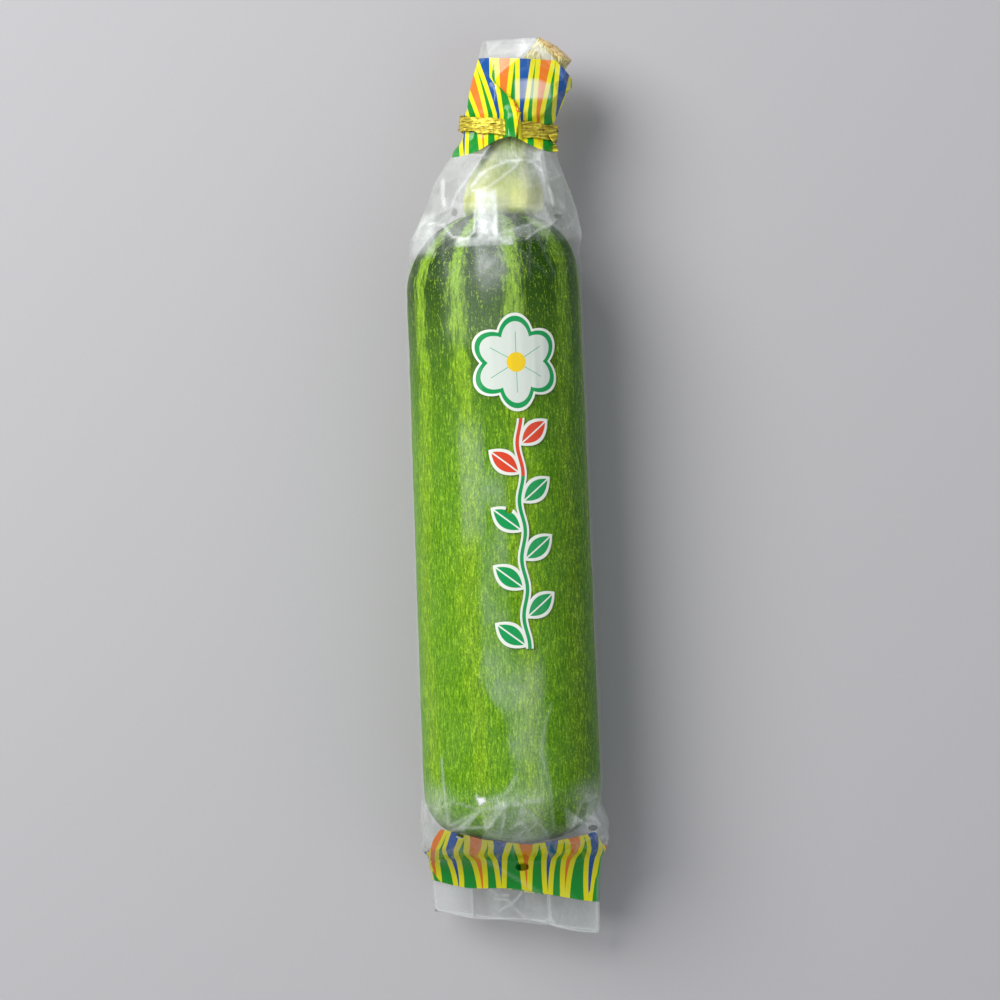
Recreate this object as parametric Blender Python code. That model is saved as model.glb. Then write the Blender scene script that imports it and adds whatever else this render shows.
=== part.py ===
"""A Korean zucchini in the clear film bag that it grew in, lying on its side.

Run it with: blender --background --python part.py
Metres, +Z up. The length runs along Y, with the stem towards +Y. The bag's flat
underside lies on z = 0, and the middle of the whole outline is over the origin.
"""

import math

import bmesh
import bpy
from mathutils import Vector

MM = 0.001

# Fruit
STEM_END_Y = 82 * MM  # top of the shoulder, where the stem grows out
BLOSSOM_END_Y = -105 * MM
STEM_SIDE_RADIUS = 25.5 * MM
BLOSSOM_SIDE_RADIUS = 26.4 * MM
SHOULDER_LENGTH = 24 * MM
SHOULDER_POWER = 2.2  # 2 is an ellipse, and more is squarer
BLOSSOM_LENGTH = 18 * MM
BLOSSOM_POWER = 2.4
BLOSSOM_SCAR_RADIUS = 5 * MM
BLOSSOM_SCAR_DEPTH = 0.5 * MM
SHOULDER_LOBES = 5
SHOULDER_LOBE_HEIGHT = 0.035  # share of the radius, at the stem end only
SHOULDER_LEAN = 1.6 * MM  # the shoulder bends towards +X under the stem
FRUIT_SIDES = 40
END_RINGS = 8
BODY_RINGS = 9

# Film bag: the real film is about 0.05 mm thick, and the solid is thicker
WALL = 0.6 * MM
FRUIT_GAP = 0.3 * MM
FLAT_CUT = 0.45 * MM  # how far the round underside is pressed flat where it lies
BAG_SIDES = 40
HUG_START_Y = -92 * MM  # between these the film lies on the fruit all round
HUG_END_Y = 57 * MM
SEAL_Y = -112.5 * MM  # the hollow ends here, and front and back are sealed beyond it
TAIL_SLANT = -0.163  # the tail's end is cut aslant: Y per X
TAIL_SLANT_FROM_Y = -106 * MM
MOUTH_SLANT = 1.15  # the mouth's rim falls away on the +X side: Y per X
MOUTH_SLANT_FROM_X = 15.5 * MM
MOUTH_SLANT_FROM_Y = 112 * MM

# The bag away from the fruit, in millimetres: Y, left X, right X, lowest Z, highest Z
# and flatness, which is 0 for a round section and 1 for film lying flat on itself.
TAIL_SECTIONS = (
    (-129.0, -24.4, 24.4, 12.2, 13.6, 1.00),
    (-118.0, -24.8, 24.8, 15.6, 17.0, 1.00),
    (-113.5, -25.3, 25.3, 15.0, 19.0, 0.90),
    (-110.0, -25.8, 25.8, 12.2, 22.8, 0.62),
    (-107.0, -26.3, 26.3, 9.2, 30.4, 0.36),
    (-104.8, -26.7, 26.8, 7.0, 38.8, 0.24),
    (-103.0, -26.9, 27.1, 5.0, 44.6, 0.16),
    (-101.0, -27.1, 27.4, 3.2, 48.6, 0.10),
    (-97.0, -27.3, 27.5, 1.0, 52.2, 0.03),
)
NECK_SECTIONS = (
    (65.0, -25.9, 26.8, 0.3, 51.8, 0.00),
    (73.0, -23.8, 26.6, 2.4, 49.9, 0.02),
    (81.0, -19.5, 26.0, 6.4, 46.0, 0.06),
    (91.0, -14.8, 21.4, 11.8, 40.6, 0.12),
    (98.5, -9.9, 20.2, 15.6, 36.6, 0.15),
    (103.5, -7.6, 19.7, 17.5, 34.5, 0.12),
    (108.5, -7.2, 20.0, 17.5, 34.5, 0.12),
    (113.0, -6.4, 22.8, 16.0, 35.8, 0.18),
    (120.0, -4.6, 25.4, 14.6, 36.0, 0.22),
    (126.0, -2.8, 25.8, 14.2, 35.6, 0.22),
    (132.0, -0.6, 25.6, 14.2, 35.2, 0.22),
)

# Stem, a five-ridged peduncle cut across
STEM_PATH = (  # the control points of one Bezier curve, in millimetres
    (3.6, 81.5, 26.2),
    (4.6, 97.0, 26.2),
    (8.5, 112.0, 25.4),
    (19.2, 128.6, 24.6),
)
STEM_RADIUS = 6.4 * MM
STEM_FOOT_SPREAD = 5.0 * MM
STEM_FOOT_LENGTH = 11.8 * MM
STEM_END_SPREAD = 0.4 * MM
STEM_RIDGES = 5
STEM_RIDGE_HEIGHT = 0.07  # share of the radius
STEM_SIDES = 40
STEM_RINGS = 18
CUT_RIM = 1.1 * MM
CUT_DEPTH = 0.5 * MM

# Twist tie: a flat strip with a wire along its middle
TIE_Y = 106 * MM
TIE_TILT = -0.14  # its left side lies nearer the mouth: Y per X
TIE_WIDTH = 4.6 * MM
TIE_EDGE = 0.5 * MM  # thickness of the strip at its edges
TIE_WIRE = 1.1 * MM  # thickness over the wire
TIE_GAP = 0.35 * MM
TIE_SIDES = 56
TWIST_LENGTH = 8 * MM
TWIST_WIDTH = 2.6 * MM
TWIST_THICKNESS = 1.5 * MM
TWIST_TURNS = 1.25
TWIST_RINGS = 16
TWIST_ANGLE = math.radians(14)  # where on the neck the ends are twisted together
TWIST_STAND_OFF = 1.5 * MM


def clear_scene():
    for obj in list(bpy.data.objects):
        bpy.data.objects.remove(obj, do_unlink=True)


def smooth_step(value):
    value = min(1.0, max(0.0, value))
    return value * value * (3 - 2 * value)


def make_material(name, colour, roughness, metallic=0.0, alpha=1.0):
    material = bpy.data.materials.new(name)
    material.use_nodes = True
    shader = material.node_tree.nodes["Principled BSDF"]
    shader.inputs["Base Color"].default_value = (*colour, 1.0)
    shader.inputs["Roughness"].default_value = roughness
    shader.inputs["Metallic"].default_value = metallic
    shader.inputs["Alpha"].default_value = alpha
    return material


def add_rings(mesh, rings):
    """Makes each ring's vertices and joins each ring to the next with four-sided faces."""
    loops = [[mesh.verts.new(point) for point in ring] for ring in rings]
    for first, second in zip(loops, loops[1:]):
        count = len(first)
        for i in range(count):
            j = (i + 1) % count
            mesh.faces.new((first[i], first[j], second[j], second[i]))
    return loops


def finish_object(name, mesh, material, smooth_angle=math.radians(40)):
    bmesh.ops.recalc_face_normals(mesh, faces=mesh.faces)
    data = bpy.data.meshes.new(name)
    mesh.to_mesh(data)
    mesh.free()
    data.shade_smooth()
    data.set_sharp_from_angle(angle=smooth_angle)
    obj = bpy.data.objects.new(name, data)
    bpy.context.scene.collection.objects.link(obj)
    data.materials.append(material)
    return obj


def ring_angles(sides):
    return [2 * math.pi * i / sides for i in range(sides)]


def body_radius(y):
    """The fruit's radius before its ends are rounded: a slow taper towards the stem."""
    along = (y - BLOSSOM_END_Y) / (STEM_END_Y - BLOSSOM_END_Y)
    return BLOSSOM_SIDE_RADIUS + (STEM_SIDE_RADIUS - BLOSSOM_SIDE_RADIUS) * along


def end_share(distance, length, power):
    """The share of the full radius at this distance from a rounded end."""
    if distance >= length:
        return 1.0
    inset = 1 - max(distance, 0.0) / length
    return (1 - inset**power) ** (1 / power)


def fruit_radius(y, angle):
    shoulder = end_share(STEM_END_Y - y, SHOULDER_LENGTH, SHOULDER_POWER)
    blossom = end_share(y - BLOSSOM_END_Y, BLOSSOM_LENGTH, BLOSSOM_POWER)
    near_stem = smooth_step(1 - (STEM_END_Y - y) / SHOULDER_LENGTH)
    lobes = SHOULDER_LOBE_HEIGHT * near_stem * math.cos(SHOULDER_LOBES * angle)
    return body_radius(y) * shoulder * blossom * (1 + lobes)


def fruit_centre(y):
    """X and Z of the fruit's middle, so that its whole underside lies along one line."""
    lean = SHOULDER_LEAN * smooth_step(1 - (STEM_END_Y - y) / SHOULDER_LENGTH)
    return lean, body_radius(y) + FRUIT_GAP + WALL - FLAT_CUT


def fruit_point(y, angle, outwards=0.0, lowest=FRUIT_GAP + WALL):
    """A point on the fruit, or that far outside it, pressed flat where it lies."""
    centre_x, centre_z = fruit_centre(y)
    radius = fruit_radius(y, angle) + outwards
    z = centre_z + radius * math.sin(angle)
    return Vector((centre_x + radius * math.cos(angle), y, max(z, lowest)))


def fruit_ring_places():
    """Y of each ring: close together where the ends curve, far apart along the body."""
    places = []
    for i in range(1, END_RINGS + 1):
        turn = math.pi / 2 * i / END_RINGS
        rise = math.cos(turn) ** (2 / BLOSSOM_POWER)
        places.append(BLOSSOM_END_Y + BLOSSOM_LENGTH * (1 - rise))
    body_start = places[-1]
    body_end = STEM_END_Y - SHOULDER_LENGTH
    for i in range(1, BODY_RINGS):
        places.append(body_start + (body_end - body_start) * i / BODY_RINGS)
    for i in range(END_RINGS, 0, -1):
        turn = math.pi / 2 * i / END_RINGS
        rise = math.cos(turn) ** (2 / SHOULDER_POWER)
        places.append(STEM_END_Y - SHOULDER_LENGTH * (1 - rise))
    return places


def blossom_scar_rings():
    """The shallow round scar that the flower left, from its middle out to its edge."""
    centre_x, centre_z = fruit_centre(BLOSSOM_END_Y)
    rings = []
    for share, depth in ((0.45, 1.0), (0.85, 0.9), (1.0, 0.0)):
        radius = BLOSSOM_SCAR_RADIUS * share
        y = BLOSSOM_END_Y + BLOSSOM_SCAR_DEPTH * depth
        rings.append(
            [
                (centre_x + radius * math.cos(a), y, centre_z + radius * math.sin(a))
                for a in ring_angles(FRUIT_SIDES)
            ]
        )
    return rings


def build_fruit():
    mesh = bmesh.new()
    rings = blossom_scar_rings()
    for y in fruit_ring_places():
        rings.append([fruit_point(y, a) for a in ring_angles(FRUIT_SIDES)])
    loops = add_rings(mesh, rings)
    mesh.faces.new(loops[0])
    mesh.faces.new(loops[-1])
    skin = make_material("zucchini_skin", (0.13, 0.33, 0.03), 0.45)
    return finish_object("fruit", mesh, skin)


def bezier(points, t):
    """A point of the cubic curve, and the direction in which it runs there."""
    a, b, c, d = (Vector(p) * MM for p in points)
    u = 1 - t
    place = a * u**3 + b * 3 * u * u * t + c * 3 * u * t * t + d * t**3
    heading = (b - a) * 3 * u * u + (c - b) * 6 * u * t + (d - c) * 3 * t * t
    return place, heading.normalized()


def stem_radius(distance, angle):
    """Swollen where it joins the fruit, then slim and five-ridged up to the cut."""
    foot = STEM_FOOT_SPREAD * math.exp(-((distance / STEM_FOOT_LENGTH) ** 3))
    length = (STEM_PATH[-1][1] - STEM_PATH[0][1]) * MM
    spread = STEM_END_SPREAD * smooth_step((distance - 0.8 * length) / (0.2 * length))
    ridges = 1 + STEM_RIDGE_HEIGHT * math.cos(STEM_RIDGES * angle + math.pi / 2)
    return (STEM_RADIUS + foot + spread) * ridges


def stem_ring(t, scale=1.0, shift=0.0):
    """One ring of the stem, square to its path."""
    place, heading = bezier(STEM_PATH, t)
    side = heading.cross(Vector((0, 0, 1))).normalized()
    up = side.cross(heading).normalized()
    distance = place.y - STEM_PATH[0][1] * MM
    ring = []
    for a in ring_angles(STEM_SIDES):
        radius = stem_radius(distance, a) * scale
        offset = side * math.cos(a) * radius + up * math.sin(a) * radius
        ring.append(place + offset + heading * shift)
    return ring


def shoulder_height(x, z):
    """Y of the fruit's stem end over this X and Z, for the stem's foot to follow."""
    centre_x, centre_z = fruit_centre(STEM_END_Y)
    across = math.hypot(x - centre_x, z - centre_z) / body_radius(STEM_END_Y)
    rise = (1 - min(across, 1.0) ** SHOULDER_POWER) ** (1 / SHOULDER_POWER)
    return STEM_END_Y - SHOULDER_LENGTH * (1 - rise)


def foot_ring(scale):
    """A ring of the stem's underside, which follows the fruit's shoulder."""
    ring = []
    for point in stem_ring(0.0, scale):
        y = shoulder_height(point.x, point.z) + 2 * FRUIT_GAP
        ring.append(Vector((point.x, y, point.z)))
    return ring


def build_stem():
    mesh = bmesh.new()
    rings = [foot_ring(0.25), foot_ring(0.7), foot_ring(1.0)]
    rings += [stem_ring(i / STEM_RINGS) for i in range(1, STEM_RINGS + 1)]
    rim_scale = 1 - CUT_RIM / STEM_RADIUS
    rings.append(stem_ring(1.0, rim_scale, 0.25 * MM))
    rings.append(stem_ring(1.0, 0.6 * rim_scale, -CUT_DEPTH))
    loops = add_rings(mesh, rings)
    mesh.faces.new(loops[0])
    mesh.faces.new(loops[-1])
    bark = make_material("stem_green", (0.42, 0.47, 0.18), 0.6)
    return finish_object("stem", mesh, bark)


def mixed(first, second, share):
    return [a + (b - a) * share for a, b in zip(first, second)]


def hugging_section(y):
    """The bag's outline where the film lies on the fruit."""
    centre_x, centre_z = fruit_centre(y)
    reach = fruit_radius(y, 0.0) + FRUIT_GAP + WALL
    return [centre_x - reach, centre_x + reach, centre_z - reach, centre_z + reach, 0.0]


def table_section(table, y):
    """The outline between the rows of a table, by a curve through them."""
    rows = [[value * MM for value in row[:5]] + [row[5]] for row in table]
    if table is TAIL_SECTIONS:
        rows.append([HUG_START_Y] + hugging_section(HUG_START_Y))
    else:
        rows.insert(0, [HUG_END_Y] + hugging_section(HUG_END_Y))
    last = len(rows) - 1
    k = max(i for i in range(last) if rows[i][0] <= y + 1e-9 or i == 0)
    before, start, end, after = (rows[min(max(i, 0), last)] for i in range(k - 1, k + 3))
    span = end[0] - start[0]
    t = min(1.0, max(0.0, (y - start[0]) / span))
    outline = []
    for column in range(1, 6):
        slope_in = (end[column] - before[column]) / max(end[0] - before[0], 1e-9) * span
        slope_out = (after[column] - start[column]) / max(after[0] - start[0], 1e-9) * span
        outline.append(
            (2 * t**3 - 3 * t**2 + 1) * start[column]
            + (t**3 - 2 * t**2 + t) * slope_in
            + (3 * t**2 - 2 * t**3) * end[column]
            + (t**3 - t**2) * slope_out
        )
    return outline


def bag_section(y):
    """Left X, right X, lowest Z, highest Z and flatness of the bag's outside at this Y."""
    if y < HUG_START_Y:
        return table_section(TAIL_SECTIONS, y)
    if y > HUG_END_Y:
        return table_section(NECK_SECTIONS, y)
    return hugging_section(y)


def outline_point(outline, angle, outwards=0.0):
    """X and Z on a section of the bag, between a round shape and film lying flat on itself."""
    left, right, low, high, flat = outline
    laid_x = 1 - 2 * angle / math.pi if angle <= math.pi else 2 * angle / math.pi - 3
    laid_z = min(1.0, max(-1.0, 3 * math.sin(angle)))
    across = (1 - flat) * math.cos(angle) + flat * laid_x
    through = (1 - flat) * math.sin(angle) + flat * laid_z
    x = (left + right) / 2 + ((right - left) / 2 + outwards) * across
    z = (low + high) / 2 + ((high - low) / 2 + outwards) * through
    return x, z


def bag_ring(y, inset=0.0, lowest=0.0):
    """One ring of the bag. The inset is the wall, measured square to the film's slope."""
    left, right, low, high, flat = bag_section(y)
    if inset:
        step = 0.5 * MM
        ahead, behind = bag_section(y + step), bag_section(y - step)
        slopes = [(a - b) / (2 * step) for a, b in zip(ahead, behind)]
        left += inset * math.hypot(1, slopes[0])
        right -= inset * math.hypot(1, slopes[1])
        low += inset * math.hypot(1, slopes[2])
        high -= inset * math.hypot(1, slopes[3])
    outline = (left, right, low, high, flat)
    ring = []
    for a in ring_angles(BAG_SIDES):
        x, z = outline_point(outline, a)
        ring.append(Vector((x, y + slant(x, y), max(z, lowest))))
    return ring


def slant(x, y):
    """How far a point of the tail or the mouth is moved along Y by their slanting cuts."""
    end_y, mouth_y = TAIL_SECTIONS[0][0] * MM, NECK_SECTIONS[-1][0] * MM
    tail = smooth_step((TAIL_SLANT_FROM_Y - y) / (TAIL_SLANT_FROM_Y - end_y))
    mouth = smooth_step((y - MOUTH_SLANT_FROM_Y) / (mouth_y - MOUTH_SLANT_FROM_Y))
    return TAIL_SLANT * x * tail - MOUTH_SLANT * max(0.0, x - MOUTH_SLANT_FROM_X) * mouth


def spaced(start, end, most_apart):
    """Evenly spaced Y values from start up to but not including end."""
    count = max(1, math.ceil((end - start) / most_apart))
    return [start + (end - start) * i / count for i in range(count)]


def bag_ring_places():
    tail_y, mouth_y = TAIL_SECTIONS[0][0] * MM, NECK_SECTIONS[-1][0] * MM
    places = spaced(tail_y, SEAL_Y, 4 * MM)
    places += spaced(SEAL_Y, -97 * MM, 1.3 * MM)
    places += spaced(-97 * MM, BLOSSOM_END_Y + BLOSSOM_LENGTH, 3.4 * MM)
    places += spaced(BLOSSOM_END_Y + BLOSSOM_LENGTH, STEM_END_Y - SHOULDER_LENGTH, 22 * MM)
    places += spaced(STEM_END_Y - SHOULDER_LENGTH, mouth_y, 3.2 * MM)
    return places + [mouth_y]


def build_film_bag():
    mesh = bmesh.new()
    places = bag_ring_places()
    outside = [bag_ring(y) for y in places]
    inside = [bag_ring(y, WALL, WALL) for y in places if y >= SEAL_Y - 1e-9]
    loops = add_rings(mesh, outside + inside[::-1])
    mesh.faces.new(loops[0])
    mesh.faces.new(loops[-1])
    film = make_material("clear_film", (0.86, 0.88, 0.87), 0.2, alpha=0.35)
    return finish_object("film_bag", mesh, film)


def tie_point(angle, along, outwards):
    """A point that far outside the neck's film, and that far from the tie's middle line."""
    x, _ = outline_point(bag_section(TIE_Y), angle)
    y = TIE_Y + TIE_TILT * (x - 6.2 * MM) + along
    x, z = outline_point(bag_section(y), angle, outwards)
    return Vector((x, y, z))


def tie_ring(angle):
    """The strip's cross-section at one angle round the neck: thin edges and a wired middle."""
    half = TIE_WIDTH / 2
    thick = TIE_GAP + TIE_EDGE
    over_wire = TIE_GAP + TIE_WIRE
    section = (
        (-half, TIE_GAP),
        (half, TIE_GAP),
        (half, thick),
        (0.22 * half, thick),
        (0.14 * half, over_wire),
        (-0.14 * half, over_wire),
        (-0.22 * half, thick),
        (-half, thick),
    )
    return [tie_point(angle, along, outwards) for along, outwards in section]


def twisted_ends():
    """The two ends of the tie twisted together, lying back along the neck's film."""
    start = tie_point(TWIST_ANGLE, 0.0, TWIST_STAND_OFF)
    heading = Vector((0.16, -1.0, 0.1)).normalized()
    side = heading.cross(Vector((0, 0, 1))).normalized()
    up = side.cross(heading)
    rings = []
    for i in range(TWIST_RINGS + 1):
        share = i / TWIST_RINGS
        turn = 2 * math.pi * TWIST_TURNS * share
        taper = 1 - 0.35 * share
        ring = []
        for a in ring_angles(8):
            across = math.cos(a) * TWIST_WIDTH / 2 * taper
            through = math.sin(a) * TWIST_THICKNESS / 2 * taper
            across, through = (
                across * math.cos(turn) - through * math.sin(turn),
                across * math.sin(turn) + through * math.cos(turn),
            )
            ring.append(start + heading * TWIST_LENGTH * share + side * across + up * through)
        rings.append(ring)
    return rings


def build_twist_tie():
    gold = make_material("gold_foil", (0.72, 0.50, 0.12), 0.3, metallic=1.0)
    mesh = bmesh.new()
    loops = add_rings(mesh, [tie_ring(a) for a in ring_angles(TIE_SIDES)])
    count = len(loops[0])
    for i in range(count):
        j = (i + 1) % count
        mesh.faces.new((loops[-1][i], loops[-1][j], loops[0][j], loops[0][i]))
    band = finish_object("twist_tie", mesh, gold)

    mesh = bmesh.new()
    loops = add_rings(mesh, twisted_ends())
    mesh.faces.new(loops[0])
    mesh.faces.new(loops[-1])
    ends = finish_object("twisted_ends", mesh, gold)
    ends.hide_render = True
    ends.display_type = "WIRE"

    union = band.modifiers.new("join_twisted_ends", "BOOLEAN")
    union.operation = "UNION"
    union.object = ends
    return band


def main():
    clear_scene()
    build_fruit()
    build_stem()
    build_film_bag()
    build_twist_tie()


main()
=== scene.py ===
"""A Korean zucchini in its clear printed film bag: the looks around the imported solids.

Metres, +Z up. The length runs along Y with the stem towards +Y, and the bag lies on z = 0.
The fruit, the stem and the tie are drawn out from flat faces, as by hand. The film is a grid
wrapped round into a tube, with its seam underneath.
"""

import math
from functools import partial

import bmesh
import bpy
import numpy as np
from bpy.props import FloatProperty, FloatVectorProperty, IntProperty, PointerProperty
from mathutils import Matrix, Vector, noise
from mathutils.geometry import delaunay_2d_cdt


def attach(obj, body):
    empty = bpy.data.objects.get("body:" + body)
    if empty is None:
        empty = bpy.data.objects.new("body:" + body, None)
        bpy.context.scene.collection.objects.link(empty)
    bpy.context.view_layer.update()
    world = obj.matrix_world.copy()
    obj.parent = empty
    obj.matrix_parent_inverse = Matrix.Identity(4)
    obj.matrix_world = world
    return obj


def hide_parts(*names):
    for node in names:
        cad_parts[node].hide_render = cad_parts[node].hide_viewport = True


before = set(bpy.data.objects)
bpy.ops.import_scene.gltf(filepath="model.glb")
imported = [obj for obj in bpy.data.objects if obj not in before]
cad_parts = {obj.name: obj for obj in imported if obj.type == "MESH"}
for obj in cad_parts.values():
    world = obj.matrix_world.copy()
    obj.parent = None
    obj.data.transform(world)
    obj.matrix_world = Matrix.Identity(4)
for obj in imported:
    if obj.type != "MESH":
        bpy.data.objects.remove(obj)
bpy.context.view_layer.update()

bl_info = {
    "name": "Korean zucchini",
    "version": (1, 0, 0),
    "blender": (4, 5, 0),
    "location": "3D View > Sidebar > Zucchini",
    "description": "Builds a zucchini, its film bag, its twist tie and a stage around the packed solids",
    "category": "Object",
}

MM = 0.001

# The fruit's own form, in millimetres, as in the solids
STEM_END_Y = 82.0
BLOSSOM_END_Y = -105.0
STEM_SIDE_RADIUS = 25.5
BLOSSOM_SIDE_RADIUS = 26.4
SHOULDER_LENGTH = 24.0
SHOULDER_POWER = 2.2
BLOSSOM_LENGTH = 18.0
BLOSSOM_POWER = 2.4
SHOULDER_LEAN = 1.6
FLOOR_TO_SKIN = 0.9
FLAT_CUT = 0.45
FLAT_SIDE_Z = FLOOR_TO_SKIN - 0.25
UNDER_FILM = 0.12  # how far the drawn skin lies inside the solid's
END_RINGS = 33  # at each rounded end

# The skin's pattern: its turns are shares of a turn, and its spacings millimetres
BUNDLES = 10  # the vascular bundles, which show as light stripes
STRIPE_TURN = 4 / 360
STRIPES_FROM_Y, STRIPES_FADED_Y = 84.0, -6.0
# The middle of the right side, where the skin's painted shade is darkest
PAINTED_SHADE_TURN = 0.72
DOT_SPACING = 1.2

# The stem's path: the control points of one Bezier curve
STEM_PATH = ((3.6, 81.5, 26.2), (4.6, 97.0, 26.2), (9.4, 115.6, 25.4), (20.2, 128.2, 24.6))
CUT_TILT, CUT_EXTRA = 0.24, 1.2  # the cut looks up, and stands that much past the path's end
CUT_RINGS = (0.88, 0.92, 0.96, 0.988, 1.0)  # shares of the path
STEM_RADIUS, STEM_TAPER = 6.4, 0.6
STEM_FOOT_SPREAD = 5.0
STEM_FOOT_LENGTH = 11.8
STEM_IN_FRUIT = 2.2  # how deep its foot reaches into the fruit
RIDGES, STEM_CORNERS = 5, 20
PITH_SPACING = 1.1

# The film away from the fruit: Y, left X, right X, lowest Z, highest Z and flatness
TAIL_SECTIONS = (
    (-129.0, -24.4, 24.4, 12.4, 13.4, 1.00),
    (-118.0, -24.8, 24.8, 15.7, 16.9, 1.00),
    (-113.5, -25.3, 25.3, 15.0, 18.8, 0.90),
    (-110.0, -25.8, 25.8, 12.2, 22.6, 0.62),
    (-107.0, -26.3, 26.3, 9.2, 30.0, 0.36),
    (-104.8, -26.7, 26.8, 7.0, 38.2, 0.24),
    (-103.0, -26.9, 27.1, 5.0, 43.8, 0.16),
    (-101.0, -27.1, 27.4, 3.2, 47.8, 0.10),
    (-97.0, -27.1, 27.3, 1.0, 51.2, 0.03),
)
NECK_SECTIONS = (
    (65.0, -25.6, 26.6, 0.3, 51.2, 0.00),
    (73.0, -23.7, 26.4, 2.4, 48.4, 0.02),
    (81.0, -19.4, 26.0, 6.4, 45.2, 0.06),
    (91.0, -15.6, 21.6, 11.8, 40.3, 0.12),
    (98.5, -11.4, 20.4, 15.6, 36.6, 0.08),
    (103.5, -7.6, 19.7, 17.5, 34.5, 0.00),
    (108.5, -7.0, 20.2, 17.5, 34.5, 0.00),
    (113.0, -6.3, 23.0, 16.0, 35.6, 0.12),
    (120.0, -4.2, 24.2, 14.8, 35.8, 0.22),
    (126.0, -1.9, 24.8, 14.6, 35.4, 0.22),
    (132.0, -0.2, 25.6, 14.6, 35.0, 0.22),
)
TAIL_END_Y, MOUTH_Y = -129.0, 132.0
TAIL_SLANT, TAIL_SLANT_FROM_Y = -0.163, -106.0
MOUTH_SLANT, MOUTH_SLANT_FROM_X, MOUTH_SLANT_FROM_Y = 1.15, 15.2, 112.0
GUSSET_DEPTHS = (11.8, 15.4)  # how far the left and right side folds reach in at the tail
TAIL_HALF_WIDTH = 24.6
FILM_AROUND = 168.0
FRONT_RADIUS = 26.5  # of the film where the sprig is printed
# The film's way round starts underneath. Its side folds are from the first share to the second
# and from the third to the fourth, and its front is between them.
PANEL_EDGES = (0.15, 0.35, 0.65, 0.85)
# Where each span of the film's rings begins, and the step from ring to ring in it
RING_STEPS = (
    (TAIL_END_Y, 0.7), (-86.0, 1.4), (-58.0, 4.2), (-8.6, 0.55), (-4.2, 4.2),
    (57.0, 0.65), (98.0, 0.5), (112.0, 0.65), (MOUTH_Y, 0.0),
)
FILM_OFF_SKIN = 0.22  # the least distance from the fruit
SAME_PLACE = 0.002  # vertices nearer than this are merged

# The tie
TIE_Y, TIE_TILT, TIE_WIDTH = 106.0, -0.14, 4.6
TIE_MIDDLE_X = 6.2
TIE_OFF_FILM = 0.75  # from the neck's outline to the middle of the strip
STRANDS = 3
ENDS_SLOPE, ENDS_TWIST, ENDS_STEPS = math.radians(30), math.radians(168), 12


def srgb(hex_code, alpha=1.0):
    """The linear colour of an sRGB hex code."""
    parts = [int(hex_code[i : i + 2], 16) / 255 for i in (1, 3, 5)]
    linear = [c / 12.92 if c <= 0.04045 else ((c + 0.055) / 1.055) ** 2.4 for c in parts]
    return (*linear, alpha)


def smooth_step(value):
    value = np.clip(value, 0.0, 1.0)
    return value * value * (3 - 2 * value)


def plateau(value, low, high, ramp):
    """1 between low and high, falling to 0 over a ramp outside them."""
    return smooth_step((value - low) / ramp + 1) * smooth_step((high - value) / ramp + 1)


def noise_at(points, size, seed=0.0):
    """Smooth noise from -1 to 1 over an array of points, with features of that size."""
    shape = points.shape[:-1]
    flat = points.reshape(-1, 3) / size + seed
    return np.array([noise.noise(Vector(p)) for p in flat]).reshape(shape)


# The shared shapes


def body_radius(y):
    along = (y - BLOSSOM_END_Y) / (STEM_END_Y - BLOSSOM_END_Y)
    return BLOSSOM_SIDE_RADIUS + (STEM_SIDE_RADIUS - BLOSSOM_SIDE_RADIUS) * along


def end_share(distance, length, power):
    inset = 1 - np.clip(distance / length, 0, 1)
    return (1 - inset**power) ** (1 / power)


def fruit_radius(y):
    shoulder = end_share(STEM_END_Y - y, SHOULDER_LENGTH, SHOULDER_POWER)
    return body_radius(y) * shoulder * end_share(y - BLOSSOM_END_Y, BLOSSOM_LENGTH, BLOSSOM_POWER)


def fruit_centre(y):
    lean = SHOULDER_LEAN * smooth_step(1 - (STEM_END_Y - y) / SHOULDER_LENGTH)
    return lean, body_radius(y) + FLOOR_TO_SKIN - FLAT_CUT


def stem_curve(t):
    """Places on the stem's path and its directions there, for an array of t."""
    a, b, c, d = (np.array(p) for p in STEM_PATH)
    t = t[:, None]
    u = 1 - t
    places = a * u**3 + b * 3 * u * u * t + c * 3 * u * t * t + d * t**3
    headings = (b - a) * 3 * u * u + (c - b) * 6 * u * t + (d - c) * 3 * t * t
    return places, headings / np.linalg.norm(headings, axis=1)[:, None]


def curve_through(rows, y):
    """A smooth curve through a table's rows, for an array of y: one array for each column."""
    rows = np.array(rows)
    places, values = rows[:, 0], rows[:, 1:]
    slopes = np.gradient(values, places, axis=0)
    slopes[1:-1] = (values[2:] - values[:-2]) / (places[2:] - places[:-2])[:, None]
    k = np.clip(np.searchsorted(places, y, side="right") - 1, 0, len(places) - 2)
    span = (places[k + 1] - places[k])[:, None]
    t = ((y - places[k])[:, None] / span).clip(0, 1)
    result = (
        (2 * t**3 - 3 * t**2 + 1) * values[k]
        + (t**3 - 2 * t**2 + t) * slopes[k] * span
        + (3 * t**2 - 2 * t**3) * values[k + 1]
        + (t**3 - t**2) * slopes[k + 1] * span
    )
    return result.T


def film_outline(y):
    """Left X, right X, lowest Z, highest Z and flatness of the film, for an array of y."""
    rows = list(TAIL_SECTIONS)
    for place in (-92.0, -87.0, -80.0, -50.0, -10.0, 30.0, 50.0, 57.0):
        lean, centre_z = fruit_centre(place)
        reach = fruit_radius(place)
        low, high = centre_z - reach - 0.9, centre_z + reach + 0.35
        rows.append((place, lean - reach - 0.5, lean + reach + 0.5, low, high, 0.0))
    return curve_through(rows + list(NECK_SECTIONS), y)


# Mesh helpers


def deselect_all():
    bpy.ops.object.select_all(action="DESELECT")


def make_active(obj):
    deselect_all()
    obj.select_set(True)
    bpy.context.view_layer.objects.active = obj


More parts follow.
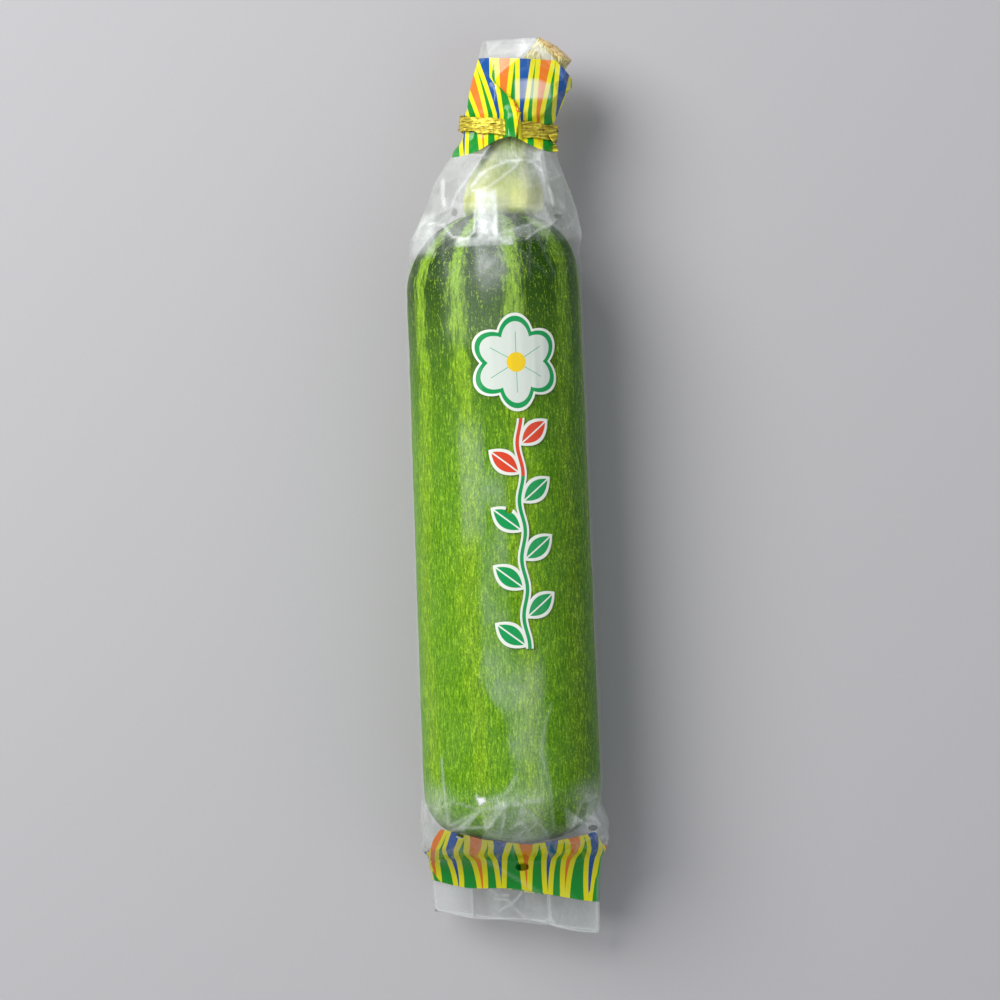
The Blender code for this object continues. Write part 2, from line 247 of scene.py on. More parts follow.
def wrapped_grid(name, points, uv_maps, attributes):
    """Adds a grid, moves its vertices to an array of points and closes its seam.

    The array has one row for each ring, and its first and last columns are the same
    places. The UV maps hold a pair for each place and may jump at the seam.
    """
    rings, columns = points.shape[:2]
    deselect_all()
    bpy.ops.mesh.primitive_grid_add(
        x_subdivisions=columns - 1, y_subdivisions=rings - 1, size=1.0, calc_uvs=False
    )
    obj = bpy.context.object
    obj.name = obj.data.name = name
    mesh = obj.data
    flat = np.empty(len(mesh.vertices) * 3)
    mesh.vertices.foreach_get("co", flat)
    flat = flat.reshape(-1, 3)
    i = np.rint((flat[:, 0] + 0.5) * (columns - 1)).astype(int)
    j = np.rint((flat[:, 1] + 0.5) * (rings - 1)).astype(int)
    mesh.vertices.foreach_set("co", (points[j, i] * MM).ravel())
    corners = np.empty(len(mesh.loops), int)
    mesh.loops.foreach_get("vertex_index", corners)
    for uv_name, (across, along) in uv_maps.items():
        layer = mesh.uv_layers.new(name=uv_name)
        pairs = np.stack([across[j, i][corners], along[j, i][corners]], axis=1)
        layer.data.foreach_set("uv", pairs.ravel())
    for key, values in attributes.items():
        add_attribute(mesh, key, values[j, i])
    mesh.update()
    make_active(obj)
    bpy.ops.object.mode_set(mode="EDIT")
    bpy.ops.mesh.select_all(action="SELECT")
    bpy.ops.mesh.remove_doubles(threshold=SAME_PLACE * MM)
    bpy.ops.mesh.normals_make_consistent(inside=False)
    bpy.ops.object.mode_set(mode="OBJECT")
    bpy.ops.object.shade_smooth()
    return obj


def finish_piece(obj, material, node):
    """Gives a piece its material and its place in the model."""
    obj.data.materials.clear()
    obj.data.materials.append(material)
    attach(obj, "root")
    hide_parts(node)


# Modelling by hand


def start_editing(name):
    """Names the primitive just added and goes into edit mode with all its faces selected."""
    bpy.ops.object.transform_apply(location=True, rotation=True, scale=True)
    obj = bpy.context.object
    obj.name = obj.data.name = name
    bpy.ops.object.mode_set(mode="EDIT")
    bpy.ops.mesh.select_mode(type="FACE")
    bpy.ops.mesh.select_all(action="SELECT")
    return obj


def end_editing():
    """Turns all faces outwards, deselects them and leaves edit mode."""
    bpy.ops.mesh.select_all(action="SELECT")
    bpy.ops.mesh.normals_make_consistent(inside=False)
    bpy.ops.mesh.select_mode(type="VERT")
    bpy.ops.mesh.select_all(action="DESELECT")
    bpy.ops.object.mode_set(mode="OBJECT")


def add_disc(name, corners, radius, centre):
    """Starts a piece from one round face across Y."""
    deselect_all()
    bpy.ops.mesh.primitive_circle_add(
        vertices=corners, radius=radius * MM, fill_type="NGON",
        location=Vector(centre) * MM, rotation=(math.pi / 2, 0, 0),
    )
    return start_editing(name)


def add_oblong(name, centre, wide, tall, rotation):
    """Starts a piece from one flat oblong."""
    deselect_all()
    bpy.ops.mesh.primitive_plane_add(size=MM, location=Vector(centre) * MM, rotation=rotation)
    bpy.ops.transform.resize(value=(wide, tall, 1), orient_type="LOCAL")
    return start_editing(name)


def select_where(obj, test):
    """Selects the vertices whose place in millimetres passes the test, in edit mode."""
    bpy.ops.mesh.select_mode(type="VERT")
    mesh = bmesh.from_edit_mesh(obj.data)
    for vert in mesh.verts:
        vert.select_set(bool(test(vert.co / MM)))
    mesh.select_flush_mode()
    bmesh.update_edit_mesh(obj.data)


def extrude_ring(step, centre, ratio):
    """Extrudes the selected end by a step, in millimetres, and resizes it about its centre."""
    bpy.ops.mesh.extrude_region_move(TRANSFORM_OT_translate={"value": Vector(step) * MM})
    bpy.ops.transform.resize(value=(ratio, ratio, ratio), center_override=Vector(centre) * MM)


def rotate_selection(angle, axis, centre):
    """Turns the selection about an axis by the right hand rule."""
    bpy.ops.transform.rotate(value=-angle, orient_axis=axis, center_override=Vector(centre) * MM)


def smooth_out(obj, levels):
    smooth = obj.modifiers.new("smooth", "SUBSURF")
    smooth.levels = smooth.render_levels = levels
    bpy.ops.object.modifier_apply(modifier=smooth.name)


def roughen(obj, name, size, depth, direction="NORMAL"):
    """Dents of that size and depth all over, in millimetres, from a cloud texture."""
    clouds = bpy.data.textures.new(name, "CLOUDS")
    clouds.noise_scale = size * MM
    dents = obj.modifiers.new(name, "DISPLACE")
    dents.texture = clouds
    dents.texture_coords = "LOCAL"
    dents.direction = direction
    dents.strength = depth * MM
    bpy.ops.object.modifier_apply(modifier=dents.name)


def add_attribute(mesh, name, values):
    """Stores a number at each vertex, which the piece's material reads."""
    layer = mesh.attributes.new(name, "FLOAT", "POINT")
    layer.data.foreach_set("value", values.astype(np.float32))


# Materials


# The one setting that may follow the name of a kind of node
NODE_SETTINGS = {
    "Attribute": "attribute_name",
    "MapRange": "interpolation_type",
    "Math": "operation",
    "Mix": "data_type",
    "TexWhiteNoise": "noise_dimensions",
    "UVMap": "uv_map",
}


def set_inputs(node, *values, **named):
    """Gives values to a node's inputs in order, or by name with _ for a space."""
    sockets = [socket for socket in node.inputs if socket.enabled]
    pairs = list(zip(sockets, values))
    pairs += [(node.inputs[name.replace("_", " ")], value) for name, value in named.items()]
    for socket, value in pairs:
        if isinstance(value, bpy.types.NodeSocket):
            node.id_data.links.new(value, socket)
        else:
            socket.default_value = value


def add_node(tree, kind, *values, output=None, **named):
    """Adds a node, such as "Math ADD", sets or links its inputs and returns one output.

    That is its first output, unless another is named.
    """
    kind, _, setting = kind.partition(" ")
    node = tree.nodes.new("ShaderNode" + kind)
    if setting:
        setattr(node, NODE_SETTINGS[kind], setting)
    set_inputs(node, *values, **named)
    return next(s for s in node.outputs if s.enabled and output in (None, s.name))


def new_material(name):
    """A new material with its shader, and add_node ready for its tree."""
    material = bpy.data.materials.new(name)
    material.use_nodes = True
    tree = material.node_tree
    return material, tree.nodes["Principled BSDF"], partial(add_node, tree)


def streak_noise(add, position, across_mm, along_mm, detail=2.0, offset=0.0):
    """Noise on the position, drawn out along Y: features this many millimetres in size."""
    across, along = 1 / (across_mm * MM), 1 / (along_mm * MM)
    scale, place = (across, along, across), (offset, offset, offset)
    stretched = add("Mapping", Vector=position, Location=place, Scale=scale)
    return add("TexNoise", Vector=stretched, Scale=1.0, Detail=detail)


def zucchini_skin():
    """Living zucchini skin, grown: ten light stripes over the bundles, and fine lengthwise flecks.

    It gives the eye a dark and light striped shoulder that fades into an even, brighter green.
    """
    material, shader, add = new_material("zucchini_skin_grown")
    position = add("TexCoord", output="Object")
    across, along, up = (add("SeparateXYZ", position, output=axis) for axis in "XYZ")
    up = add("Math SUBTRACT", up, BLOSSOM_SIDE_RADIUS * MM)
    turn = add("Math MULTIPLY_ADD", add("Math ARCTAN2", across, up), 0.5 / math.pi, 0.5)

    # Ragged stripes that wander a little
    wander = streak_noise(add, position, 14, 60, 0.0)
    ragged = streak_noise(add, position, 1.1, 6, 4.0, 3.1)
    phase = add("Math MULTIPLY", add("Math ADD", turn, STRIPE_TURN), 2 * math.pi * BUNDLES)
    phase = add("Math ADD", phase, add("Math MULTIPLY_ADD", wander, 3.4, -1.7))
    stripe = add("Math MULTIPLY", add("Math COSINE", phase), -1.0)
    stripe = add("Math ADD", stripe, add("Math MULTIPLY_ADD", ragged, 3.2, -1.6))
    stripe = add("MapRange SMOOTHSTEP", stripe, -0.2, 1.2)

    # 0 at the stem end, where the stripes are strong, to 1 where they have faded
    faded = add("MapRange SMOOTHSTEP", along, STRIPES_FROM_Y * MM, STRIPES_FADED_Y * MM)
    pale = add("Mix RGBA", faded, srgb("#82aa26"), srgb("#6e980f"))
    deep = add("Mix RGBA", faded, srgb("#0a2203"), srgb("#5a8c0c"))
    colour = add("Mix RGBA", stripe, deep, pale)

    # The right side is painted a darker green as shade, where the light from the upper left falls less
    from_painted_shade = add("Math ABSOLUTE", add("Math SUBTRACT", turn, PAINTED_SHADE_TURN))
    painted_shade = add("MapRange SMOOTHSTEP", from_painted_shade, 0.18, 0.04, 0.0, 0.55)
    colour = add("Mix RGBA", painted_shade, colour, srgb("#2c5a02"))

    # Fine lengthwise cells: pale flecks and dark dashes
    cells = streak_noise(add, position, 0.32, 0.75, 3.0, 7.7)
    streaks = streak_noise(add, position, 0.55, 3.0, 3.0, 2.2)
    grain = add("Math ADD", cells, streaks)
    dark_band = add("Math SUBTRACT", 1.0, add("Math MAXIMUM", stripe, faded))
    fewer = add("Math MULTIPLY_ADD", dark_band, -0.08, grain)
    cells_show = add("MapRange SMOOTHSTEP", stripe, 0.0, 0.8, 0.7, 1.0)
    light_cells = add("MapRange SMOOTHSTEP", fewer, 1.04, 1.22, 0.0, 0.85)
    light_cells = add("Math MULTIPLY", light_cells, cells_show)
    dark_cells = add("MapRange SMOOTHSTEP", grain, 1.0, 0.7, 0.0, 0.65)
    colour = add("Mix RGBA", light_cells, colour, srgb("#9cc42a"))
    colour = add("Mix RGBA", dark_cells, colour, srgb("#1d4f0a"))
    dots = add("TexVoronoi", Vector=position, Scale=1 / (DOT_SPACING * MM))
    dots = add("MapRange SMOOTHSTEP", dots, 0.22, 0.10, 0.0, 0.45)
    colour = add("Mix RGBA", add("Math MULTIPLY", dots, cells_show), colour, srgb("#a2cc3c"))

    # The blossom scar is corky and brown
    scar_from, scar_to = (BLOSSOM_END_Y + 0.8) * MM, BLOSSOM_END_Y * MM
    scar = add("MapRange SMOOTHSTEP", along, scar_from, scar_to)
    colour = add("Mix RGBA", scar, colour, srgb("#8a8a4a"))

    relief = add("Math ADD", cells, add("Math MULTIPLY", ragged, 0.6))
    set_inputs(
        shader, Base_Color=colour, IOR=1.38, Specular_IOR_Level=0.15, Subsurface_Weight=0.08,
        Subsurface_Radius=(0.4, 1.0, 0.2), Subsurface_Scale=1.5 * MM,
        Roughness=add("MapRange SMOOTHSTEP", cells, 0.3, 0.7, 0.42, 0.58),
        Normal=add("Bump", Strength=0.25, Distance=0.25 * MM, Height=relief),
    )
    return material


def stem_skin():
    """Squash stem, grown and cut: fibrous ridges, pale green turning to corky tan at the cut."""
    material, shader, add = new_material("stem_fibrous_cut")
    position = add("TexCoord", output="Object")
    along, ridge, in_cut = (
        add("Attribute " + name, output="Fac") for name in ("along", "ridge", "cut")
    )
    fibre = streak_noise(add, position, 0.7, 9, 3.0)
    patch = streak_noise(add, position, 5, 9, 2.0, 4.4)
    fibrous = add("MapRange SMOOTHSTEP", fibre, 0.35, 0.65)
    patchy = add("MapRange SMOOTHSTEP", patch, 0.35, 0.65)

    green = add("Mix RGBA", fibrous, srgb("#75894a"), srgb("#9dac68"))
    foot = add("Mix RGBA", patchy, srgb("#d6db78"), srgb("#c4cb62"))
    colour = add("Mix RGBA", add("MapRange SMOOTHSTEP", along, 0.30, 0.05), green, foot)
    on_ridge = add("MapRange SMOOTHSTEP", ridge, 0.2, 1.0, 0.0, 0.35)
    colour = add("Mix RGBA", on_ridge, colour, srgb("#dde0a8"))
    in_groove = add("MapRange SMOOTHSTEP", ridge, 0.0, -1.0, 0.0, 0.35)
    colour = add("Mix RGBA", in_groove, colour, srgb("#7f9440"))
    at_fruit = add("MapRange SMOOTHSTEP", along, 0.03, 0.0, 0.0, 0.6)
    colour = add("Mix RGBA", at_fruit, colour, srgb("#7d9a3c"))

    # Corky near the cut, and pithy inside it
    cork = add("MapRange SMOOTHSTEP", fibre, 0.4, 0.6)
    cork = add("Mix RGBA", cork, srgb("#9a8a44"), srgb("#e6dc9c"))
    near_cut = add("Math ADD", along, add("Math MULTIPLY_ADD", patch, 0.12, -0.06))
    near_cut = add("MapRange SMOOTHSTEP", near_cut, 0.80, 0.93)
    colour = add("Mix RGBA", near_cut, colour, cork)
    grain = add("TexVoronoi", Vector=position, Scale=1 / (PITH_SPACING * MM))
    pith = add("MapRange SMOOTHSTEP", grain, 0.1, 0.6)
    pith = add("Mix RGBA", pith, srgb("#b98234"), srgb("#f0d596"))
    colour = add("Mix RGBA", add("MapRange SMOOTHSTEP", in_cut, 0.2, 0.8), colour, pith)

    relief = add("Math ADD", fibre, add("Math MULTIPLY", grain, 0.3))
    set_inputs(
        shader, Base_Color=colour,
        Roughness=add("MapRange SMOOTHSTEP", fibre, 0.3, 0.7, 0.5, 0.72),
        Normal=add("Bump", Strength=0.5, Distance=0.4 * MM, Height=relief),
    )
    return material


def sprig_print(add):
    """Where the flower and the leaves on the front are printed, and in which ink."""

    def inside(value):
        return add("Math GREATER_THAN", value, 0.0)

    def nearer(distance, limit):
        return inside(add("Math SUBTRACT", limit, distance))

    def squared(value):
        return add("Math POWER", add("Math ABSOLUTE", value), 2.0)

    spot = add("UVMap front")
    across, along = (add("SeparateXYZ", spot, output=axis) for axis in "XY")
    across = add("Math SUBTRACT", across, SPRIG_X)

    # Leaves on either side in turn, each pointing outwards and up
    past_start = add("Math SUBTRACT", along, SPRIG_FROM_Y)
    steps = add("Math DIVIDE", past_start, LEAF_STEP)
    number = add("Math FLOOR", steps)
    side = add("Math MULTIPLY_ADD", add("Math FLOORED_MODULO", number, 2.0), 2.0, -1.0)
    out = add("Math SUBTRACT", add("Math MULTIPLY", across, side), LEAF_OUT)
    part = add("Math SUBTRACT", steps, number)
    up = add("Math MULTIPLY_ADD", part, LEAF_STEP, -LEAF_STEP / 2)
    cos, sin = math.cos(LEAF_TURN), math.sin(LEAF_TURN)
    length = add("Math ADD", add("Math MULTIPLY", out, cos), add("Math MULTIPLY", up, sin))
    width = add("Math SUBTRACT", add("Math MULTIPLY", up, cos), add("Math MULTIPLY", out, sin))
    width = add("Math ABSOLUTE", width)

    def leaf(half_length, half_width):
        bulge = squared(add("Math DIVIDE", length, half_length))
        slimness = add("Math DIVIDE", width, half_width)
        return inside(add("Math SUBTRACT", add("Math SUBTRACT", 1.0, bulge), slimness))

    in_row = add("Math MULTIPLY", inside(past_start), nearer(along, SPRIG_TO_Y))
    sway = add("Math SINE", add("Math MULTIPLY", along, math.pi / LEAF_STEP))
    vine = add("Math SUBTRACT", across, add("Math MULTIPLY", sway, VINE_SWAY))
    vine = add("Math ABSOLUTE", vine)
    green = add("Math MAXIMUM", leaf(4.9, 2.5), nearer(vine, 0.55))
    vein = add("Math MULTIPLY", nearer(width, 0.22), inside(add("Math SUBTRACT", vine, 1.2)))
    green = add("Math MULTIPLY", green, add("Math SUBTRACT", 1.0, vein))
    green = add("Math MULTIPLY", green, in_row)
    white = add("Math MAXIMUM", leaf(5.9, 3.5), nearer(vine, 1.15))
    white = add("Math MULTIPLY", white, in_row)

    # The flower above them: six broad pale petals edged in green round a yellow middle
    rise = add("Math SUBTRACT", along, FLOWER_Y)
    away = add("Math SQRT", add("Math ADD", squared(across), squared(rise)))
    bearing = add("Math MULTIPLY", add("Math ARCTAN2", across, rise), PETALS / 2)
    petals = add("Math ABSOLUTE", add("Math COSINE", bearing))
    reach = add("Math MULTIPLY_ADD", petals, 0.24, 0.76)
    reach = add("Math MULTIPLY", reach, FLOWER_RADIUS)
    petal_white = nearer(away, reach)
    petal_edge = nearer(away, add("Math SUBTRACT", reach, 0.9))
    petal_fill = nearer(away, add("Math SUBTRACT", reach, 2.5))
    ray = add("Math MULTIPLY", add("Math ABSOLUTE", add("Math SINE", bearing)), away)
    ray = add("Math MULTIPLY", nearer(ray, 0.30), nearer(away, FLOWER_RADIUS * 0.62))

    # The two leaves nearest the flower are red buds
    near_flower = inside(add("Math SUBTRACT", number, LEAVES - 2.5))
    leaf_ink = add("Mix RGBA", near_flower, srgb("#0a9a52"), srgb("#dc4527"))
    ink = add("Mix RGBA", green, srgb("#e9eee6"), leaf_ink)
    ink = add("Mix RGBA", petal_edge, ink, srgb("#0a9a52"))
    ink = add("Mix RGBA", petal_fill, ink, srgb("#d9e2da"))
    ink = add("Mix RGBA", ray, ink, srgb("#58b487"))
    ink = add("Mix RGBA", nearer(away, FLOWER_RADIUS * 0.2), ink, srgb("#f2cf1c"))
    return add("Math MAXIMUM", white, petal_white), ink


def band_print(add):
    """Where the bands are printed, and in which ink.

    Each wedge is filled orange or blue in turn and edged in yellow, on green. It leans its own
    way and has its own point, as if drawn by hand.
    """
    place = add("UVMap print")
    wedge, raised = (add("SeparateXYZ", place, output=axis) for axis in "XY")
    # The tail's band is 0 to 1 high on the map, and the collar's 3 to 4
    is_collar = add("Math GREATER_THAN", raised, 2.0)
    height = add("Math MULTIPLY_ADD", is_collar, -COLLAR_ON_MAP, raised)

    number = add("Math FLOOR", add("Math ADD", wedge, 0.5))
    dice = add("TexWhiteNoise 1D", W=number, output="Color")
    lean = add("Math MULTIPLY_ADD", add("SeparateColor", dice, output="Red"), 0.26, -0.13)
    lean = add("Math MULTIPLY", lean, add("Math SUBTRACT", 1.0, height))
    offset = add("Math SUBTRACT", add("Math SUBTRACT", wedge, number), lean)
    distance = add("Math ABSOLUTE", offset)
    point = add("Math MULTIPLY_ADD", add("SeparateColor", dice, output="Green"), 0.24, -0.14)
    opening = add("Math MULTIPLY", add("Math SUBTRACT", height, point), 0.27)
    opening = add("Clamp", opening)
    is_filled = add("Math LESS_THAN", distance, opening)
    is_yellow = add("Math LESS_THAN", distance, add("Math ADD", opening, 0.235))
    parity = add("Math FLOORED_MODULO", number, 2.0)
    filling = add("Mix RGBA", parity, srgb("#e97e20"), srgb("#0452a0"))
    ink = add("Mix RGBA", is_yellow, srgb("#04942c"), srgb("#ebe60a"))
    ink = add("Mix RGBA", is_filled, ink, filling)
    above = add("Math GREATER_THAN", height, 0.0)
    below = add("Math LESS_THAN", height, 1.0)
    return add("Math MULTIPLY", above, below), ink


def printed_film():
    """Polyethylene film, blown and printed: clear and glossy, hazy where it stands off the skin.

    The bands and the sprig are nearly opaque ink. Highlights where the lights glare and glint off the
    film are painted in as white.
    """
    material, shader, add = new_material("polyethylene_film_printed")
    position = add("TexCoord", output="Object")
    banded, ink = band_print(add)
    sprig, sprig_ink = sprig_print(add)
    ink = add("Mix RGBA", banded, sprig_ink, ink)
    inked = add("Math MAXIMUM", banded, sprig)

    # How hazy the film is, with the painted highlights in it, and how white its creases are, with the
    # painted glints in them
    haze, crease = (add("Attribute " + name, output="Fac") for name in ("haze", "crease"))
    mottle = streak_noise(add, position, 1.3, 1.8, 2.0)
    blotch = streak_noise(add, position, 6, 9, 3.0, 5.5)
    mottled = add("MapRange SMOOTHSTEP", mottle, 0.3, 0.7, 0.86, 1.14)
    blotched = add("MapRange SMOOTHSTEP", blotch, 0.3, 0.7, 0.85, 1.15)
    veil_and_highlight = add("Math MULTIPLY", haze, add("Math MULTIPLY", mottled, blotched))
    slope = add("LayerWeight", Blend=0.5, output="Facing")
    rim = add("Math MULTIPLY", add("Math POWER", slope, 5.0), 0.22)
    milky = add("Math ADD", add("Math ADD", veil_and_highlight, rim), crease)
    milky = add("Clamp", milky)
    # Each layer of film is two surfaces, which together cover this much
    seen_through = add("Math SQRT", add("Clamp", add("Math SUBTRACT", 1.0, milky)))
    clear = add("Math SUBTRACT", 1.0, seen_through)

    colour = add("Mix RGBA", inked, srgb("#eef4f3"), ink)
    set_inputs(
        shader, IOR=1.5,
        Base_Color=add("Mix RGBA", crease, colour, srgb("#f4f6f4")),
        Alpha=add("Math MAXIMUM", clear, add("Math MULTIPLY", inked, INK_COVER)),
        Roughness=add("MapRange SMOOTHSTEP", blotch, 0.3, 0.7, 0.14, 0.3),
        Normal=add("Bump", Strength=0.3, Distance=0.06 * MM, Height=mottle),
    )
    return material


def gold_foil():
    """Metallised foil laminated over wire, crumpled by twisting: bright creased gold."""
    material, shader, add = new_material("gold_foil_laminated")
    position = add("TexCoord", output="Object")
    crumple = streak_noise(add, position, 2.2, 0.6, 3.0)
    tone = add("MapRange SMOOTHSTEP", crumple, 0.3, 0.7)
    colour = add("Mix RGBA", tone, srgb("#9c8614"), srgb("#e6d848"))
    # Its lacquer is cracked along the strip
    cracks = streak_noise(add, position, 5.0, 0.35, 3.0, 4.0)
    cracks = add("MapRange SMOOTHSTEP", cracks, 0.46, 0.37)
    set_inputs(
        shader, Metallic=0.45,
        Base_Color=add("Mix RGBA", cracks, colour, srgb("#57440a")),
        Roughness=add("MapRange SMOOTHSTEP", crumple, 0.3, 0.7, 0.55, 0.38),
        Normal=add("Bump", Strength=0.8, Distance=0.35 * MM, Height=crumple),
    )
    return material


def stage_floor():
    """Painted board, rolled: plain pale grey with a faint roller texture."""
    material, shader, add = new_material("painted_board_rolled")
    grain = streak_noise(add, add("TexCoord", output="Object"), 1.2, 1.2, 2.0)
    tone = bpy.context.scene.zucchini_stage.floor_colour
    darker = (*(part * 0.97 for part in tone), 1.0)
    set_inputs(shader, Base_Color=add("Mix RGBA", grain, (*tone, 1.0), darker), Roughness=0.85)
    return material


# The fruit


def make_fruit(settings):
    bend = np.linspace(0, math.pi / 2, END_RINGS + 1)[1:]
    blossom = BLOSSOM_END_Y + BLOSSOM_LENGTH * (1 - np.cos(bend) ** (2 / BLOSSOM_POWER))
    shoulder = STEM_END_Y - SHOULDER_LENGTH * (1 - np.cos(bend[::-1]) ** (2 / SHOULDER_POWER))
    body = np.linspace(blossom[-1], shoulder[0], settings.fruit_rings)
    y = np.concatenate([blossom, body[1:-1], shoulder])
    lean, centre_z = fruit_centre(y)
    radius = fruit_radius(y) - UNDER_FILM
    centres = np.stack([lean, y, centre_z], axis=1)

    # One round face is drawn out from the blossom end to the stem, ring by ring
    obj = add_disc("zucchini", settings.fruit_columns, radius[0], centres[0])
    for k in range(1, len(y)):
        extrude_ring(centres[k] - centres[k - 1], centres[k], radius[k] / radius[k - 1])
    end_editing()
    roughen(obj, "broad_dents", 14, 0.5)
    roughen(obj, "small_dents", 4, 0.16)

    # It has lain on one side, which is a little flat
    for vertex in obj.data.vertices:
        vertex.select = vertex.co.z < FLAT_SIDE_Z * MM
    bpy.ops.object.mode_set(mode="EDIT")
    bpy.ops.transform.resize(value=(1, 1, 0), center_override=(0, 0, FLAT_SIDE_Z * MM))
    bpy.ops.object.mode_set(mode="OBJECT")
    bpy.ops.object.shade_smooth()
    return obj


# The stem


def make_stem(settings):
    t = np.concatenate([np.linspace(0, 0.84, settings.stem_rings), CUT_RINGS])
    places, headings = stem_curve(t)
    places[0, 1] -= STEM_IN_FRUIT
    places += headings * (CUT_EXTRA * smooth_step((t - 0.8) / 0.2))[:, None]
    from_fruit = np.clip(places[:, 1] - places[1, 1], 0, None)
    foot = STEM_FOOT_SPREAD * np.exp(-((from_fruit / STEM_FOOT_LENGTH) ** 3))
    radius = 1.02 * (STEM_RADIUS + foot) - STEM_TAPER * smooth_step((t - 0.5) / 0.5)
    bearing = np.arctan2(headings[:, 0], headings[:, 1])

    # A star: every fourth corner is on a ridge, and midway between two of them is a groove
    obj = add_disc("stem_stalk", STEM_CORNERS, radius[0], places[0])
    for corner, ratio in ((0, 1.09), (2, 0.90)):

        def is_corner(place, corner=corner):
            angle = math.atan2(place.z - places[0, 2], place.x - places[0, 0])
            number = round(angle / (2 * math.pi) * STEM_CORNERS) + STEM_CORNERS // 4
            return number % (STEM_CORNERS // RIDGES) == corner

        select_where(obj, is_corner)
        bpy.ops.transform.resize(value=(ratio, 1, ratio), center_override=places[0] * MM)

    # It is drawn out along the stem's path, turning with it, and tips at the cut
    bpy.ops.mesh.select_mode(type="FACE")
    bpy.ops.mesh.select_all(action="SELECT")
    for k in range(1, len(t)):
        extrude_ring(places[k] - places[k - 1], places[k], radius[k] / radius[k - 1])
        rotate_selection(bearing[k - 1] - bearing[k], "Z", places[k])
        if t[k] >= CUT_RINGS[0]:
            rotate_selection(CUT_TILT / len(CUT_RINGS), "X", places[k])
    for inward, depth in ((0.2, 0.0), (0.5, 0.1), (1.2, -0.6), (1.6, -0.2)):
        bpy.ops.mesh.inset(thickness=inward * MM, depth=depth * MM)
    end_editing()
    smooth_out(obj, 2)
    roughen(obj, "knobs", 4, 0.5)
    roughen(obj, "fibres", 1.0, 0.34)
    bpy.ops.object.shade_smooth()
    mark_stem(obj.data, places[-1])
    return obj


def mark_stem(mesh, cut_centre):
    """Stores how far along each vertex is, whether on a ridge, and whether in the cut."""
    spots = np.empty(len(mesh.vertices) * 3)
    mesh.vertices.foreach_get("co", spots)
    spots = spots.reshape(-1, 3) / MM
    t = np.linspace(0, 1, 160)
    middles, headings = stem_curve(t)
    nearest = np.linalg.norm(spots[:, None] - middles[None], axis=-1).argmin(axis=1)
    side = np.cross(headings, (0, 0, 1))[nearest]
    away = spots - middles[nearest]
    angle = np.arctan2(away[:, 2], (away * side).sum(axis=1))
    rim = np.linalg.norm(away, axis=1) / (STEM_RADIUS - STEM_TAPER)
    past = ((spots - cut_centre) * headings[-1]).sum(axis=1)
    past = past + CUT_TILT * (spots[:, 2] - cut_centre[2])
    in_cut = smooth_step((past + 0.75) / 0.35) * smooth_step((1.02 - rim) / 0.1)
    add_attribute(mesh, "along", t[nearest] * 0.98)
    add_attribute(mesh, "ridge", np.cos(RIDGES * (angle + math.pi / 2)))
    add_attribute(mesh, "cut", in_cut)


# The film bag


def panel_turns(settings):
    """Shares of the film's way round, starting underneath, with most on the upper panel."""
    front, side, back = settings.front_columns, settings.side_columns, settings.back_columns
    counts = (back, side, front, side, back)
    edges = (0.0, *PANEL_EDGES, 1.0)
    parts = [
        np.linspace(a, b, count, endpoint=False)
        for a, b, count in zip(edges, edges[1:], counts)
    ]
    return np.concatenate(parts + [[1.0]])


def film_stations():
    """Y of each ring of the film: close together where it folds."""
    parts = [
        np.linspace(a, b, round((b - a) / step), endpoint=False)
        for (a, step), (b, _) in zip(RING_STEPS, RING_STEPS[1:])
    ]
    return np.concatenate(parts + [[MOUTH_Y]])


def laid_shape(turn):
    """The section of the film laid flat: front and back, with the sides folded in between."""
    left_depth, right_depth = (depth / TAIL_HALF_WIDTH for depth in GUSSET_DEPTHS)
    a, b, c, d = PANEL_EDGES
    turns = (0, a, (a + b) / 2, b, c, (c + d) / 2, d, 1)
    x = np.interp(turn, turns, (0, -1, left_depth - 1, -1, 1, 1 - right_depth, 1, 0))
    z = np.interp(turn, turns, (-1, -1, 0, 1, 1, 0, -1, -1))
    return x, z


def segment_distance(x, y, path):
    """Distance of each place from a path of points, seen from above."""
    nearest = np.full(x.shape, 1e9)
    for (ax, ay), (bx, by) in zip(path, path[1:]):
        dx, dy = bx - ax, by - ay
        t = np.clip(((x - ax) * dx + (y - ay) * dy) / (dx * dx + dy * dy), 0, 1)
        nearest = np.minimum(nearest, np.hypot(x - ax - t * dx, y - ay - t * dy))
    return nearest


def triangle_inside(x, y, corners):
    """1 inside a triangle, with a soft edge half a millimetre wide."""
    inside = np.full(x.shape, 1e9)
    middle = np.mean(corners, axis=0)
    for (ax, ay), (bx, by) in zip(corners, corners[1:] + corners[:1]):
        across = ((bx - ax) * (y - ay) - (by - ay) * (x - ax)) / math.hypot(bx - ax, by - ay)
        facing = (bx - ax) * (middle[1] - ay) - (by - ay) * (middle[0] - ax)
        inside = np.minimum(inside, across * math.copysign(1, facing))
    return smooth_step(inside / 0.5 + 0.5)
